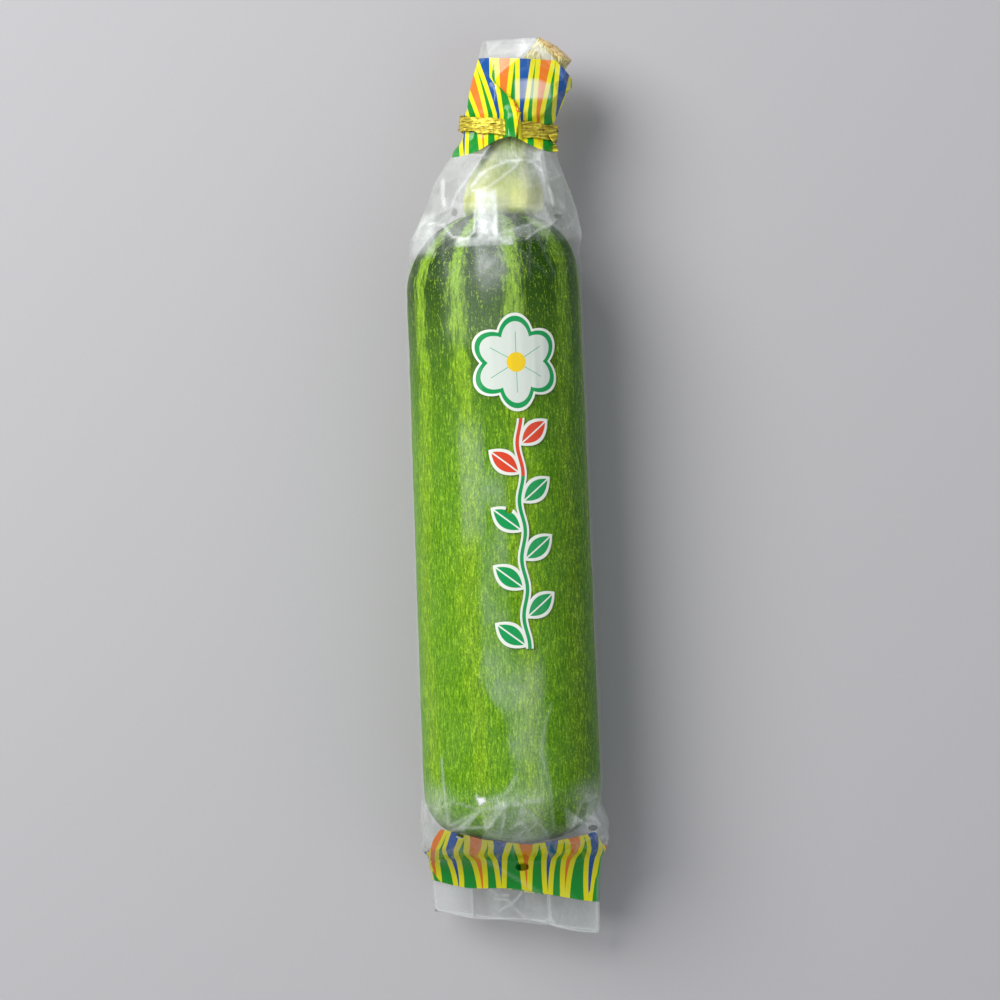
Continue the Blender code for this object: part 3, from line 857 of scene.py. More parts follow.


# Creases on the upper side, as seen from above. Each has its path in millimetres, its height
# and half width, and its whiteness and the half width of that. The whiteness is partly the film
# whitened by the fold and partly painted highlight where the lights glint along it; the short ones
# from (-4.2, 89.4) and (-13.6, 91.2) are painted glints.
CREASES = (
    (((-5.4, 88.6), (-2.5, 92.6), (2.0, 94.6), (5.2, 95.8), (10.0, 96.1)), 0.7, 1.6, 0.45, 0.4),
    (((9.0, 95.2), (6.5, 93.1), (3.5, 90.9), (-0.2, 88.4), (-4.8, 87.4)), 0.5, 1.4, 0.35, 0.35),
    (((-4.2, 89.4), (-2.4, 91.8), (-0.4, 93.4)), 0.3, 1.0, 0.45, 0.6),
    (((0.3, 100.5), (-4.5, 93.5), (-9.8, 86.9), (-11.3, 82.9)), 0.9, 2.2, 0.25, 0.4),
    (((10.0, 96.1), (13.0, 95.4), (15.8, 92.7), (18.0, 92.0)), 0.4, 1.2, 0.28, 0.4),
    (((16.1, 99.5), (16.8, 92.7), (18.6, 82.6)), 0.9, 2.0, 0.28, 0.5),
    (((6.5, 100.0), (9.5, 96.0)), 0.5, 1.8, 0.25, 0.4),
    (((-13.6, 91.2), (-13.8, 87.0), (-13.4, 83.6)), 0.3, 1.2, 0.55, 0.6),
    (
        ((-4.5, 82.0), (-4.8, 75.3), (-7.1, 73.4), (-11.2, 73.8), (-14.0, 77.9), (-18.3, 78.6)),
        0.4, 1.2, 0.45, 0.4,
    ),
    (((-18.3, 78.6), (-20.5, 79.5), (-22.0, 76.0)), 0.4, 1.2, 0.3, 0.4),
    (((1.7, 80.2), (1.8, 75.3), (3.0, 72.4), (6.0, 71.1)), 0.3, 1.0, 0.35, 0.4),
    (((10.4, 72.7), (14.1, 75.3), (17.8, 76.5), (20.4, 79.6)), 0.5, 1.2, 0.3, 0.4),
    (((17.8, 76.5), (21.0, 75.0), (24.5, 77.0)), 0.5, 1.2, 0.25, 0.4),
    (((12.2, -63.8), (10.0, -70.6), (9.0, -77.9), (11.2, -87.5), (11.6, -100.0)), 0.25, 1.2, 0.14, 0.4),
    (((-9.0, -51.5), (-6.6, -57.5), (-4.0, -62.0)), 0.2, 1.2, 0.10, 0.4),
    (((-20.4, -78.0), (-20.2, -84.3), (-19.2, -97.9)), 0.3, 1.2, 0.26, 0.35),
    (((-18.8, -99.7), (-12.4, -98.6), (-6.5, -98.4)), 0.5, 1.5, 0.26, 0.4),
    (((-16.5, -99.3), (-13.7, -96.9), (-8.1, -93.0), (-2.2, -92.2)), 0.6, 2.0, 0.2, 0.5),
    (((-8.1, -91.6), (-1.6, -88.6), (1.3, -84.1)), 0.4, 2.0, 0.12, 0.8),
    (((-2.2, -92.2), (-2.9, -97.2), (-4.1, -101.7)), 0.4, 1.4, 0.28, 0.45),
    (((-1.1, -99.5), (2.0, -97.6), (4.4, -100.0), (7.0, -97.8), (9.6, -101.0)), 0.4, 1.0, 0.26, 0.35),
    (((1.0, -102.0), (3.4, -99.4), (5.0, -102.6)), 0.3, 1.0, 0.24, 0.35),
    (((17.0, -100.6), (20.0, -93.0), (25.0, -90.1)), 0.4, 1.6, 0.15, 0.4),
    (((14.6, -102.0), (19.0, -98.2), (22.5, -97.0), (25.2, -99.5)), 0.5, 1.6, 0.24, 0.4),
    (((-7.9, -119.6), (-5.6, -121.6), (-2.4, -121.3)), 0.2, 0.8, 0.3, 0.3),
    (((-5.0, -126.0), (-1.7, -124.2), (0.8, -121.1), (1.6, -120.0)), 0.2, 0.8, 0.3, 0.35),
    (((-6.4, -122.4), (-2.4, -122.9), (-0.2, -125.8), (2.5, -128.3)), 0.2, 0.8, 0.25, 0.4),
    (((2.9, -127.9), (7.6, -128.5), (10.1, -127.0), (12.3, -130.6)), 0.2, 0.8, 0.35, 0.3),
    (((-17.7, -104.7), (-11.0, -108.7), (-1.4, -115.0), (6.8, -119.7)), 0.5, 1.5, 0.14, 0.6),
)

# The glint off one small facet near the blossom end, a painted highlight: its three corners
PAINTED_GLINT = ((-10.8, -89.4), (-7.4, -90.5), (-9.7, -92.1))

# The pleat at the collar's front: Y, X of its edge and how far it folds over
PLEAT_PATH = (
    (97.0, 6.4, 0.0), (102.0, 7.6, 1.2), (110.0, 8.6, 2.2), (113.7, 7.2, 2.0), (121.0, 1.2, 0.0),
)
PLEAT_HALF_WIDTH = 1.6
PUFF_OVER_TIE = 1.9
PLEATS = 17  # the small ones that fan out from the tie

# Vent holes: X and Y of the middle and both half widths
VENT_HOLES = (
    (-10.5, 81.3, 0.85, 1.2),
    (20.0, 79.0, 1.4, 0.8),
    (23.2, -100.5, 1.5, 0.9),
    (2.0, -112.5, 2.0, 1.1),
    (-15.9, -101.5, 1.2, 0.9),
    (2.2, -6.4, 1.05, 1.05),
)

# The printed sprig, in millimetres across the front and along it
SPRIG_X, SPRIG_FROM_Y, LEAVES = 6.0, -47.0, 8
LEAF_STEP, LEAF_OUT, LEAF_TURN = 8.4, 4.6, math.radians(38)
SPRIG_TO_Y = SPRIG_FROM_Y + LEAVES * LEAF_STEP
VINE_SWAY = 0.7
FLOWER_Y, FLOWER_RADIUS, PETALS = 36.6, 14.4, 6

# The printed bands
INK_COVER = 0.86
COLLAR_ON_MAP = 3.0  # the collar's band is this much higher on the map than the tail's

COLLAR_PITCH = 6.2  # one wedge to the next
# A wedge's number, X of its middle and the pitch: at the collar's top, and at its foot left and
# right of the pleat
COLLAR_WEDGES = ((3, 12.2, COLLAR_PITCH), (1, 3.8, 5.2), (4, 15.6, 5.6))
TAIL_WEDGES = 26  # all the way round
TAIL_BAND_FROM = 9.9  # from the tail's end
TAIL_BAND_TOP = (
    (-26.0, -98.6), (-22.9, -99.2), (-13.9, -101.2), (-8.4, -102.8),
    (4.2, -104.8), (17.3, -103.2), (24.0, -101.8), (27.0, -101.2),
)  # X and Y of its upper edge
TAIL_BAND_Y, BACK_BAND_Y = -103.0, -106.5  # where that edge is in front, about, and at the back


def column_lengths(points):
    """The length along the film from its tail end, for each place."""
    steps = np.linalg.norm(np.diff(points, axis=0), axis=-1)
    return np.concatenate([np.zeros((1, points.shape[1])), np.cumsum(steps, axis=0)])


def tail_print(points, turn):
    """Wedge number and height in the band beyond the blossom end."""
    lengths = column_lengths(points)
    height = np.empty_like(lengths)
    for k, share in enumerate(turn):
        column_y = np.maximum.accumulate(points[:, k, 1])
        x = np.interp(TAIL_BAND_Y, column_y, points[:, k, 0])
        in_front = plateau(share, 0.365, 0.635, 0.02)
        front_y = np.interp(x, *np.transpose(TAIL_BAND_TOP))
        top_y = BACK_BAND_Y + in_front * (front_y - BACK_BAND_Y)
        top = np.interp(top_y, column_y, lengths[:, k])
        height[:, k] = (lengths[:, k] - TAIL_BAND_FROM) / (top - TAIL_BAND_FROM)
    wedge = 1.6 + (turn - 0.5) * TAIL_WEDGES + 0 * lengths
    return wedge, height


def collar_print(points, upper, up, fold):
    """Wedge number and height in the collar's band. The fold is 0 left of the pleat, 1 right."""
    x, y = points[..., 0], points[..., 1]
    raised = np.clip((y - 110) / 17, 0, 1)
    at_top, left_flap, right_flap = (
        number + (x - middle) / pitch for number, middle, pitch in COLLAR_WEDGES
    )
    left = left_flap + (at_top - left_flap) * raised
    right = right_flap + (at_top - right_flap) * raised
    wedge = left + (right - left) * fold
    for row in range(len(wedge)):
        above = np.flatnonzero(upper[row])
        first, last = above[0], above[-1]
        steps = np.linalg.norm(np.diff(points[row], axis=0), axis=-1)
        run = np.concatenate([[0], np.cumsum(steps)]) / COLLAR_PITCH
        wedge[row, :first] = wedge[row, first] - (run[first] - run[:first])
        wedge[row, last + 1 :] = wedge[row, last] + (run[last + 1 :] - run[last])
    low = 98.0 + 5.2 * np.exp(-(((x - 6.0) / 8) ** 2)) * up + 1.6 * (1 - up)
    high = 126.9 - 0.08 * x
    return wedge, (y - low) / (high - low)


# Where the film is faceted: its span in Y, the facets' size, how far their corners may stand
# in and out, and how white their creases are
FACETED = (
    ((60.0, 100.5), 8.5, (-0.5, 1.3), 0.22),
    ((107.5, 134.0), 8.5, (-0.2, 0.4), 0.10),
    ((-110.5, -89.0), 7.0, (-0.5, 1.4), 0.26),
)
LAID_OUT_TURN = 100  # how long one turn is where the facets are laid out flat


def place_at(points, station, turn, at_turn, at_y):
    """Places on the film between its own columns and rings."""
    i = np.interp(at_turn, turn, np.arange(len(turn)))
    j = np.interp(at_y, station, np.arange(len(station)))
    i0, j0 = np.minimum(i.astype(int), len(turn) - 2), np.minimum(j.astype(int), len(station) - 2)
    fi, fj = (i - i0)[..., None], (j - j0)[..., None]
    low = points[j0, i0] * (1 - fi) + points[j0, i0 + 1] * fi
    high = points[j0 + 1, i0] * (1 - fi) + points[j0 + 1, i0 + 1] * fi
    return low * (1 - fj) + high * fj


def facets(points, station, turn, span, size, push_out):
    """The film pulled into flat triangles, lines along some edges and a tone for each."""
    draws = np.random.default_rng(int(abs(span[0])))
    homes, corners = [], []
    for row, y in enumerate(np.arange(span[0], span[1] + size, size * 0.87)):
        ring = place_at(points, station, turn, turn, np.full(len(turn), y))
        around = np.linalg.norm(np.diff(ring, axis=0), axis=1).sum()
        count = max(8, round(around / size))
        shift = draws.uniform(-0.28, 0.28, (2, count))
        at_turn = ((np.arange(count) + 0.5 * (row % 2) + shift[0]) / count) % 1
        at_y = y + shift[1] * size
        place = place_at(points, station, turn, at_turn, at_y)
        out = place - ring.mean(axis=0)
        out[:, 1] = 0
        out /= np.linalg.norm(out, axis=1)[:, None]
        place = place + out * draws.uniform(*push_out, count)[:, None]
        for lap in (-1, 0, 1):
            homes += [Vector((LAID_OUT_TURN * (t + lap), v)) for t, v in zip(at_turn, at_y)]
            corners += list(place)
    whiteness = np.repeat(draws.uniform(0, 1, len(homes) // 3), 3)
    flat, _, triangles, sources, _, _ = delaunay_2d_cdt(homes, [], [], 0, 1e-6)
    laid_out = LAID_OUT_TURN * turn
    result = points.copy()
    lines, tones = np.zeros(points.shape[:2]), np.ones(points.shape[:2])
    for triangle in triangles:
        home = np.array([flat[k] for k in triangle])
        i = np.flatnonzero((laid_out >= home[:, 0].min()) & (laid_out <= home[:, 0].max()))
        j = np.flatnonzero((station >= home[:, 1].min()) & (station <= home[:, 1].max()))
        if not len(i) or not len(j):
            continue
        source = [sources[k][0] for k in triangle]
        corner = np.array([corners[k] for k in source])
        spots = np.stack(np.meshgrid(laid_out[i], station[j]), axis=-1)
        across = np.array([home[1] - home[0], home[2] - home[0]]).T
        share = (spots - home[0]) @ np.linalg.inv(across).T
        weights = np.concatenate([1 - share.sum(axis=-1, keepdims=True), share], axis=-1)
        inside = (weights >= -1e-9).all(axis=-1)
        rows, columns = np.meshgrid(j, i, indexing="ij")
        result[rows[inside], columns[inside]] = weights[inside] @ corner
        tones[rows[inside], columns[inside]] = draws.uniform(0.45, 1.55)
        area = np.linalg.norm(np.cross(corner[1] - corner[0], corner[2] - corner[0]))
        for k in range(3):
            ends = corner[(k + 1) % 3], corner[(k + 2) % 3]
            gap = weights[..., k] * area / max(np.linalg.norm(ends[0] - ends[1]), 0.1)
            white = whiteness[source[(k + 1) % 3]] * whiteness[source[(k + 2) % 3]]
            line = white * smooth_step(1.1 - np.abs(gap) / 0.6)
            old = lines[rows[inside], columns[inside]]
            lines[rows[inside], columns[inside]] = np.maximum(old, line[inside])
    return result, lines, tones


# The glare on the upper side, painted in as highlights that whiten the film: from, to and the
# ramp outside them in X and in Y, and how white it is, evenly and in clouds
PAINTED_GLARES = (
    ((-3.6, 1.5, 1.2), (73.0, 86.5, 2.0), 0.58, 0.0),
    ((-9.5, 5.5, 2.0), (71.6, 73.0, 1.2), 0.42, 0.0),
    ((-3.0, 2.2, 4.0), (66.0, 74.0, 16.0), 0.156, 0.13),
    ((-13.0, 6.0, 4.0), (47.0, 76.0, 8.0), 0.05, 0.0),
    ((-22.5, -17.5, 2.0), (71.0, 80.0, 3.0), 0.30, 0.0),
    ((-5.5, -0.5, 3.0), (-50.0, 0.0, 12.0), 0.0, 0.17),
    ((-10.5, -6.0, 2.5), (-10.0, 14.0, 9.0), 0.09, 0.0),
)

# The milky strip towards the blossom end: Y and X of its wavy edge, and X of its straight one
MILKY_EDGE_Y = (-96.6, -88.3, -78.6, -64.0, -55.5, -40.0)
MILKY_EDGE_X = (-8.4, -1.6, 1.1, -2.5, -6.3, -5.0)
MILKY_TO_X = 10.4


def film_haze_and_highlight(points, up, tone):
    """The share of what lies behind that each layer of the film hides: how hazy it is, with painted
    highlights where the lights glare off it.
    """
    x, y = points[..., 0], points[..., 1]
    cloud = np.clip(0.5 + 0.7 * noise_at(points, 9.0, 4.0), 0, 1)
    glare = 0 * x
    for in_x, in_y, even, cloudy in PAINTED_GLARES:
        glare = np.maximum(glare, plateau(x, *in_x) * plateau(y, *in_y) * (even + cloudy * cloud))
    left = np.interp(y, MILKY_EDGE_Y, MILKY_EDGE_X) + 0.8 * np.sin(y / 2.3)
    strip = smooth_step((x - left) / 3.2 + 0.5) * smooth_step((MILKY_TO_X - x) / 3.0 + 0.5)
    glare = np.maximum(glare, 0.12 * strip * plateau(y, -140, -57, 12) * (0.55 + 0.6 * cloud))

    # The loose neck, the mouth, the blossom end with its corners, and the tail's end
    neck = 0.12 + 0.08 * cloud + 0.07 * smooth_step((x - 10) / 6)
    neck = neck * tone * plateau(y, 75, 98, 4)
    mouth_y = 127 - MOUTH_SLANT * np.clip(x - MOUTH_SLANT_FROM_X, 0, None)
    mouth = 0.15 + 0.22 * smooth_step((x - 8) / 4)
    mouth = mouth * tone * plateau(y, mouth_y, 140, 1.0)
    blossom = 0.09 * plateau(y, -106, -93, 8) * (0.4 + cloud) * tone**2
    corner = smooth_step((np.abs(x) - 16) / 6) * plateau(y, -104, -90, 7)
    corner = 0.15 * corner * (0.5 + 0.6 * cloud) * tone
    end = 0.09 * plateau(y, -140, -118, 2) * (0.6 + 0.6 * cloud)
    # The glare, which is painted highlight, goes in with how hazy the film is
    haze = 0.002 + (0.014 * cloud + glare) * up + neck + mouth + blossom + corner + end
    return np.clip(haze, 0, 1)


def bare_tube(turn, angle, station):
    """X, Y and Z of the film before it is pleated, and how flat it lies at each ring."""
    left, right, low, high, flat = (column[:, None] for column in film_outline(station))
    laid_x, laid_z = laid_shape(turn)
    across = (1 - flat) * np.cos(angle) + flat * laid_x
    widest = np.where(across < 0, -across.min(axis=1)[:, None], across.max(axis=1)[:, None])
    through = (1 - flat) * np.sin(angle) + flat * laid_z
    x = (left + right) / 2 + (right - left) / 2 * (across / widest)
    z = (low + high) / 2 + (high - low) / 2 * through
    return x, station[:, None] + 0 * turn, z, flat


def gather_pleats(x, y, z, angle, flat, from_tie):
    """Pleats that fan out from the tie, and faint wrinkles along the fruit."""
    draws = np.random.default_rng(12)
    gathered = plateau(y, 99, 110, 9) * (1 - 0.45 * plateau(y, 113, 140, 6))
    fanned = plateau(y, 72, 140, 14) * 0.55
    push = 0 * y
    for _ in range(PLEATS):
        centre = draws.uniform(-math.pi, math.pi)
        spread = draws.uniform(0.1, 0.2)
        size = draws.uniform(-0.9, 1.0)
        drift = draws.uniform(-0.012, 0.012) * (y - TIE_Y)
        away = np.abs((angle - centre - drift + math.pi) % (2 * math.pi) - math.pi)
        wide = spread * (1 + 0.03 * np.abs(y - TIE_Y))
        push = push + size * np.clip(1 - away / wide, 0, 1) * np.maximum(gathered, fanned)

    # The tie presses the pleats down under it
    push = np.where(push > 0, push * smooth_step((from_tie - 2.3) / 2.2), push)
    wrinkle = noise_at(np.stack([x, 0.12 * y, z], axis=-1), 2.2, 6.0)
    push = push + 0.16 * np.clip(wrinkle, 0, 1) * plateau(y, -92, 60, 8)
    folded_flat = smooth_step((flat - 0.5) / 0.4)
    x = x + push * np.cos(angle) * (1 - folded_flat)
    z = z + push * (np.sin(angle) * (1 - folded_flat) + 0.45 * folded_flat)
    return x, z


def pull_into_facets(x, y, z, turn, station, from_tie):
    """Flat facets between straight creases, where the film stands off the fruit."""
    lines, tone = 0 * y, 1 + 0 * y
    for span, size, push_out, white in FACETED:
        before = np.stack([x, y, z], axis=-1)
        spread, new_lines, tones = facets(before, station, turn, span, size, push_out)
        share = plateau(y, span[0] + 3, span[1] - 3, 3) * smooth_step((from_tie - 2.4) / 2.0)
        tone = tone + (tones - 1) * share
        lines = np.maximum(lines, new_lines * share * white)
        share = share[..., None]
        x, _, z = np.moveaxis(spread * share + before * (1 - share), -1, 0)
    return x, z, lines, tone


def draw_creases(x, y, z, up, turn, facet_lines):
    """Raises the creases as sharp crests on the upper side, and says how white each place is: the folds
    whitened, with painted glints and highlights where the lights catch them.
    """
    crease = facet_lines
    for path, height, half, whiteness, white_half in CREASES:
        gap = segment_distance(x, y, path)
        z = z + up * height * np.clip(1 - gap / half, 0, 1)
        line = 0.85 * whiteness * smooth_step(1.15 - gap / (white_half + 0.12))
        crease = np.maximum(crease, up * line)
    # The painted glint off a small facet
    crease = np.maximum(crease, 0.9 * up * triangle_inside(x, y, PAINTED_GLINT))

    # The edges of the folded sides and the end of the tail
    folds = (*PANEL_EDGES, np.mean(PANEL_EDGES[:2]), np.mean(PANEL_EDGES[2:]))
    at_fold = np.min([np.abs(turn - fold) for fold in folds], axis=0) * FILM_AROUND
    edge_line = 0.5 * smooth_step(1.2 - at_fold / 0.5) * plateau(y, -140, -111, 3)
    end_line = 0.5 * smooth_step(1.3 - (y - TAIL_END_Y) / 0.6)
    crease = np.maximum(crease, np.maximum(edge_line, end_line))

    # The glare off the collar's right flap, a painted highlight
    flap = plateau(x, 8.9, 18.8, 0.6) * plateau(y, 114.5, 119.4, 0.8)
    return z, np.maximum(crease, up * flap * (0.42 + 0.12 * np.cos(x * 0.9)))


def fold_pleat(x, y, z, on_top):
    """The pleat at the front, which folds over itself, and its puff over the tie."""
    pleat = np.array(PLEAT_PATH)
    edge_x = np.interp(y, pleat[:, 0], pleat[:, 1])
    depth = np.interp(y, pleat[:, 0], pleat[:, 2], left=0, right=0)
    depth = depth * plateau(y, 98.5, 119.5, 1.5)
    s = np.clip((x - edge_x) / (2 * PLEAT_HALF_WIDTH) + 0.5, 0, 1)
    thirds = (0, 1 / 3, 2 / 3, 1)
    zigzag = np.interp(s, thirds, (0, 1, -1, 0))
    behind = np.exp(-np.clip(edge_x - x, 0, None) / 3.5)
    lifted = np.interp(s, thirds, (0.9, 1, 0, 0)) * behind
    z = z + on_top * lifted * 0.62 * depth
    x = x + on_top * zigzag * depth
    over_tie = plateau(x, 6.2, 9.4, 1.6) * plateau(y, 103.6, 108.0, 5.0) * on_top
    return x, z + PUFF_OVER_TIE * over_tie, np.interp(s, thirds, (0, 0, 1, 1))


def keep_clear(x, y, z):
    """Nothing passes through the floor or the fruit."""
    lean, centre_z = fruit_centre(y)
    reach = np.where((y > BLOSSOM_END_Y) & (y < STEM_END_Y), fruit_radius(y), 0) + FILM_OFF_SKIN
    spread = np.hypot(x - lean, z - centre_z)
    grow = np.where(spread < reach, reach / np.maximum(spread, 0.1), 1)
    return lean + (x - lean) * grow, np.maximum(centre_z + (z - centre_z) * grow, 0.0)


def slant_ends(x, y, out_z):
    """Y after the slanting cuts at both ends and the tail's wavy front edge."""
    tail = smooth_step((TAIL_SLANT_FROM_Y - y) / (TAIL_SLANT_FROM_Y - TAIL_END_Y))
    mouth = smooth_step((y - MOUTH_SLANT_FROM_Y) / (MOUTH_Y - MOUTH_SLANT_FROM_Y))
    shift = TAIL_SLANT * x * tail - MOUTH_SLANT * np.clip(x - MOUTH_SLANT_FROM_X, 0, None) * mouth
    wavy = 0.7 * np.sin(x / 5.2 + 1.0) * smooth_step((-122 - y) / 7) * (out_z > 0)
    return y + shift + wavy


def film_points(settings):
    """Every place of the film, with its print, how hazy it is and its creases, and the painted
    highlights and glints among them.
    """
    turn = panel_turns(settings)
    angle = -math.pi / 2 - 2 * math.pi * turn
    out_z = np.sin(angle)
    station = film_stations()
    x, y, z, flat = bare_tube(turn, angle, station)
    up = smooth_step((out_z + 0.15) / 0.5) + 0 * y
    from_tie = np.abs(y - TIE_Y - TIE_TILT * (x - TIE_MIDDLE_X))
    x, z = gather_pleats(x, y, z, angle, flat, from_tie)
    x, z, facet_lines, tone = pull_into_facets(x, y, z, turn, station, from_tie)

    # The tail's slow waves, the same in all of its layers
    limp = smooth_step((-108 - y) / 16)
    z = z + limp * (0.9 * np.sin(x / 7.5 + 0.6) + 0.5 * np.sin(x / 3.4 + y / 6))
    z, crease = draw_creases(x, y, z, up, turn, facet_lines)
    on_top = (out_z > 0.2) + 0 * y
    x, z, fold = fold_pleat(x, y, z, on_top)
    x, z = keep_clear(x, y, z)
    y = slant_ends(x, y, out_z)
    points = np.stack([x, y, z], axis=-1)
    points[:, -1] = points[:, 0]

    tail_wedge, tail_height = tail_print(points, turn)
    collar_wedge, collar_height = collar_print(points, on_top > 0.5, up, fold)
    collar_height = COLLAR_ON_MAP + collar_height.clip(-0.4, 1.3)
    printed = (
        np.where(y > 0, collar_wedge, tail_wedge),
        np.where(y > 0, collar_height, tail_height.clip(-1, 1.5)),
    )
    return points, turn, printed, film_haze_and_highlight(points, up, tone), crease


def cut_vent_holes(obj):
    """Takes out the faces inside each hole on the upper side, and rounds the edge left."""
    mesh = bmesh.new()
    mesh.from_mesh(obj.data)
    for x, y, half_x, half_y in VENT_HOLES:

        def inside(place, grow):
            away_x, away_y = (place.x / MM - x) / half_x, (place.y / MM - y) / half_y
            return math.hypot(away_x, away_y) < grow

        near = [f for f in mesh.faces if inside(f.calc_center_median(), 1.0)]
        top = max((f.calc_center_median().z for f in near), default=0)
        hole = [f for f in near if f.calc_center_median().z > top - 1.6 * MM]
        edges = {e for f in hole for e in f.edges}
        rim = {v for e in edges if sum(f in hole for f in e.link_faces) == 1 for v in e.verts}
        bmesh.ops.delete(mesh, geom=hole, context="FACES")
        for vert in rim:
            if not vert.is_valid:
                continue
            away_x, away_y = (vert.co.x / MM - x) / half_x, (vert.co.y / MM - y) / half_y
            length = max(math.hypot(away_x, away_y), 0.2)
            vert.co.x = (x + away_x / length * half_x) * MM
            vert.co.y = (y + away_y / length * half_y) * MM
    mesh.to_mesh(obj.data)
    mesh.free()


def make_film(settings):
    points, turn, printed, haze, crease = film_points(settings)
    around = 2 * math.pi * FRONT_RADIUS * (turn - 0.5)
    maps = {"print": printed, "front": (around + 0 * haze, points[..., 1])}
    obj = wrapped_grid("film_sleeve", points, maps, {"haze": haze, "crease": crease})
    cut_vent_holes(obj)
    make_active(obj)
    wall = obj.modifiers.new("film_thickness", "SOLIDIFY")
    wall.thickness = settings.film_thickness
    wall.offset = -1.0
    wall.use_even_offset = False
    bpy.ops.object.modifier_apply(modifier=wall.name)
    return obj


# The twist tie


def make_tie_ends(place):
    """The strip's two ends, twisted together, from that place towards the fruit."""
    ends = add_oblong("gold_tie_ends", place, 3.4, 0.8, (math.pi / 2, 0, 0))
    step = Vector((0.02, -0.47, -0.02))
    for _ in range(ENDS_STEPS):
        place = place + step
        extrude_ring(step, place, 0.975)
        rotate_selection(ENDS_TWIST / ENDS_STEPS, "Y", place)
    end_editing()
    smooth_out(ends, 2)
    roughen(ends, "end_crumple", 0.9, 0.3)
    return ends


def make_tie(settings):
    left, right, low, high, _ = (column[0] for column in film_outline(np.array([TIE_Y])))
    middle = Vector(((left + right) / 2, TIE_Y, (low + high) / 2))
    across, tall = (right - left) / 2 + TIE_OFF_FILM, (high - low) / 2 + TIE_OFF_FILM
    outer_x = middle.x + across

    # The strip's section, gathered into three strands on its outer side
    start = (outer_x, TIE_Y, middle.z)
    band = add_oblong("gold_tie", start, 0.7, TIE_WIDTH, (0, 0, 0))
    bpy.ops.mesh.delete(type="ONLY_FACE")
    for side in (-1, 1):
        select_where(band, lambda place: (place.x - outer_x) * side > 0)
        bpy.ops.mesh.subdivide(number_cuts=2 * STRANDS - 1)
    pitch = TIE_WIDTH / (2 * STRANDS)
    for parity, push in ((0, -0.2), (1, 0.5)):

        def is_strand(place, parity=parity):
            number = round((place.y - TIE_Y) / pitch)
            return place.x > outer_x and number % 2 == parity

        select_where(band, is_strand)
        bpy.ops.transform.translate(value=(push * MM, 0, 0))

    # Spun round the neck, pressed to its oval and tilted
    bpy.ops.mesh.select_all(action="SELECT")
    bpy.ops.mesh.spin(
        steps=settings.tie_sections, angle=2 * math.pi, center=middle * MM, axis=(0, 1, 0)
    )
    bpy.ops.mesh.select_all(action="SELECT")
    bpy.ops.mesh.remove_doubles(threshold=SAME_PLACE * MM)
    bpy.ops.transform.resize(value=(1, 1, tall / across), center_override=middle * MM)
    rotate_selection(math.atan(TIE_TILT), "Z", (TIE_MIDDLE_X, TIE_Y, middle.z))
    end_editing()
    smooth_out(band, 1)
    roughen(band, "wandering", 4.5, 1.3, "Y")
    roughen(band, "crumple", 1.1, 0.5)

    # The ends stand at the right of the oval, above its middle
    out_x = (across + 1) * math.cos(ENDS_SLOPE)
    up_z = (tall + 1) * math.sin(ENDS_SLOPE)
    ends = make_tie_ends(middle + Vector((out_x, -2, up_z)))
    make_active(band)
    ends.select_set(True)
    bpy.ops.object.join()
    bpy.ops.object.shade_smooth()
    return band


# Operators


class ZucchiniSettings(bpy.types.PropertyGroup):
    fruit_columns: IntProperty(
        name="Columns round the fruit", description="Faces in one turn round the fruit",
        default=180, min=24,
    )
    fruit_rings: IntProperty(
        name="Rings along the fruit", description="Rings along the straight of the fruit",
        default=120, min=8,
    )
    stem_rings: IntProperty(
        name="Rings along the stem", description="Rings drawn out from the stem's foot",
        default=22, min=8,
    )


class FilmSettings(bpy.types.PropertyGroup):
    film_thickness: FloatProperty(
        name="Film thickness", description="Thickness of the bag's film",
        default=0.1 * MM, unit="LENGTH", precision=5,
    )
    front_columns: IntProperty(
        name="Front columns", description="Faces across the bag's upper panel", default=108, min=8
    )
    side_columns: IntProperty(
        name="Side columns", description="Faces across each folded side", default=26, min=4
    )
    back_columns: IntProperty(
        name="Back columns", description="Faces across each half of the back", default=15, min=4
    )
    tie_sections: IntProperty(
        name="Tie sections", description="Steps round the twist tie", default=180, min=24
    )


class StageSettings(bpy.types.PropertyGroup):
    floor_colour: FloatVectorProperty(
        name="Floor colour", description="Colour of the plain floor", subtype="COLOR",
        default=srgb("#aeadb1")[:3], min=0, max=1,
    )
    camera_height: FloatProperty(
        name="Camera height", description="Height of the camera over the silhouette",
        default=1.8, unit="LENGTH",
    )
    view_width: FloatProperty(
        name="View width", description="Width of the view at the silhouette's height",
        default=0.2955, unit="LENGTH",
    )


class ZUCCHINI_OT_fruit(bpy.types.Operator):
    """Adds the green fruit in place of its solid"""

    bl_idname = "zucchini.add_fruit"
    bl_label = "Add fruit"

    def execute(self, context):
        obj = make_fruit(context.scene.zucchini_piece)
        finish_piece(obj, zucchini_skin(), "fruit")
        return {"FINISHED"}


class ZUCCHINI_OT_stem(bpy.types.Operator):
    """Adds the cut stem in place of its solid"""

    bl_idname = "zucchini.add_stem"
    bl_label = "Add stem"

    def execute(self, context):
        obj = make_stem(context.scene.zucchini_piece)
        finish_piece(obj, stem_skin(), "stem")
        return {"FINISHED"}


class ZUCCHINI_OT_film(bpy.types.Operator):
    """Adds the printed film bag in place of its solid"""

    bl_idname = "zucchini.add_film"
    bl_label = "Add film bag"

    def execute(self, context):
        obj = make_film(context.scene.zucchini_film)
        finish_piece(obj, printed_film(), "film_bag")
        return {"FINISHED"}


class ZUCCHINI_OT_tie(bpy.types.Operator):
    """Adds the gold twist tie in place of its solid"""

    bl_idname = "zucchini.add_tie"
    bl_label = "Add twist tie"

    def execute(self, context):
        obj = make_tie(context.scene.zucchini_film)
        finish_piece(obj, gold_foil(), "twist_tie")
        return {"FINISHED"}


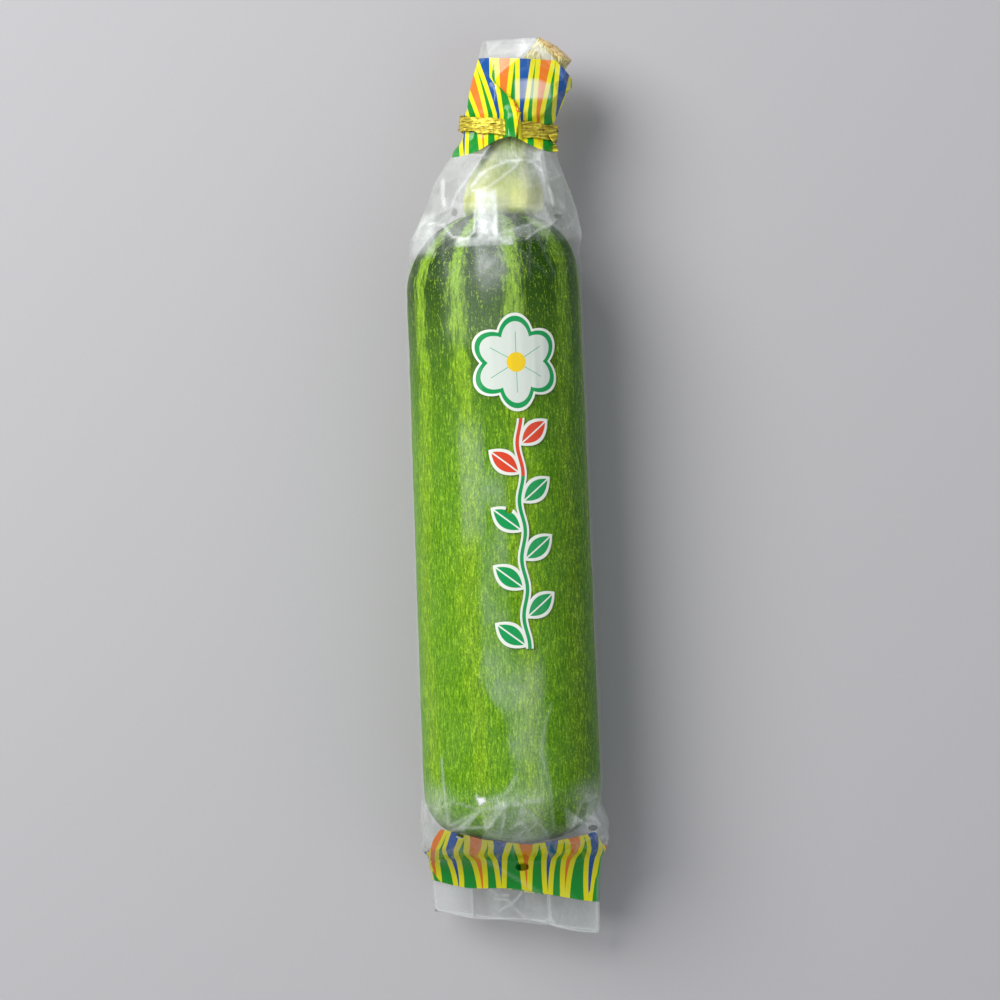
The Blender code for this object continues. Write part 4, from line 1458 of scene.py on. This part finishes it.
# The view straight down: the height of the object's outline, the place in the middle of the
# picture and the camera's roll
SILHOUETTE_Z = 0.026
VIEW_CENTRE = (-0.4 * MM, -3.4 * MM)
VIEW_ROLL = math.radians(-2.2)


def add_light(name, place, size, power, colour):
    bpy.ops.object.light_add(type="AREA", location=place)
    lamp = bpy.context.object
    lamp.name = name
    lamp.data.shape = "DISK"
    lamp.data.size = size
    lamp.data.energy = power
    lamp.data.color = colour
    lamp.rotation_euler = (-Vector(place)).to_track_quat("-Z", "Y").to_euler()
    return lamp


class ZUCCHINI_OT_stage(bpy.types.Operator):
    """Adds the plain floor, the soft lights and the camera looking straight down"""

    bl_idname = "zucchini.add_stage"
    bl_label = "Add stage"

    def execute(self, context):
        settings = context.scene.zucchini_stage
        deselect_all()
        bpy.ops.mesh.primitive_plane_add(size=8.0, location=(0, 0, 0))
        floor = context.object
        floor.name = "floor"
        floor.data.materials.append(stage_floor())

        add_light("key_softbox", (-0.62, 0.52, 0.85), 0.85, 16.5, (1.0, 0.985, 0.96))
        add_light("fill_softbox", (0.9, -0.5, 1.2), 1.2, 2.6, (0.95, 0.975, 1.0))
        world = bpy.data.worlds.new("soft_room")
        context.scene.world = world
        world.use_nodes = True
        backdrop = world.node_tree.nodes["Background"]
        backdrop.inputs["Color"].default_value = (0.93, 0.96, 1.0, 1.0)
        backdrop.inputs["Strength"].default_value = 0.41

        height = SILHOUETTE_Z + settings.camera_height
        bpy.ops.object.camera_add(location=(*VIEW_CENTRE, height), rotation=(0, 0, VIEW_ROLL))
        camera = context.object
        camera.name = "camera_above"
        lens = camera.data
        lens.sensor_width = 36.0
        lens.lens = 36.0 * settings.camera_height / settings.view_width
        lens.clip_start, lens.clip_end = 0.01, 100.0
        context.scene.camera = camera
        context.scene.view_settings.view_transform = "Standard"
        context.scene.cycles.transparent_max_bounces = 40
        return {"FINISHED"}


class ZUCCHINI_PT_panel(bpy.types.Panel):
    """Lists the pieces in the order in which they are added"""

    bl_label = "Zucchini"
    bl_idname = "ZUCCHINI_PT_panel"
    bl_space_type = "VIEW_3D"
    bl_region_type = "UI"
    bl_category = "Zucchini"

    def draw(self, context):
        for operator in (
            ZUCCHINI_OT_fruit, ZUCCHINI_OT_stem, ZUCCHINI_OT_film, ZUCCHINI_OT_tie,
            ZUCCHINI_OT_stage,
        ):
            self.layout.operator(operator.bl_idname)


CLASSES = (
    ZucchiniSettings, FilmSettings, StageSettings,
    ZUCCHINI_OT_fruit, ZUCCHINI_OT_stem, ZUCCHINI_OT_film, ZUCCHINI_OT_tie, ZUCCHINI_OT_stage,
    ZUCCHINI_PT_panel,
)


def register():
    for cls in CLASSES:
        bpy.utils.register_class(cls)
    bpy.types.Scene.zucchini_piece = PointerProperty(type=ZucchiniSettings)
    bpy.types.Scene.zucchini_film = PointerProperty(type=FilmSettings)
    bpy.types.Scene.zucchini_stage = PointerProperty(type=StageSettings)


def unregister():
    del bpy.types.Scene.zucchini_stage
    del bpy.types.Scene.zucchini_film
    del bpy.types.Scene.zucchini_piece
    for cls in reversed(CLASSES):
        bpy.utils.unregister_class(cls)


def main():
    register()
    bpy.ops.zucchini.add_fruit()
    bpy.ops.zucchini.add_stem()
    bpy.ops.zucchini.add_film()
    bpy.ops.zucchini.add_tie()
    bpy.ops.zucchini.add_stage()


if __name__ == "__main__":
    main()
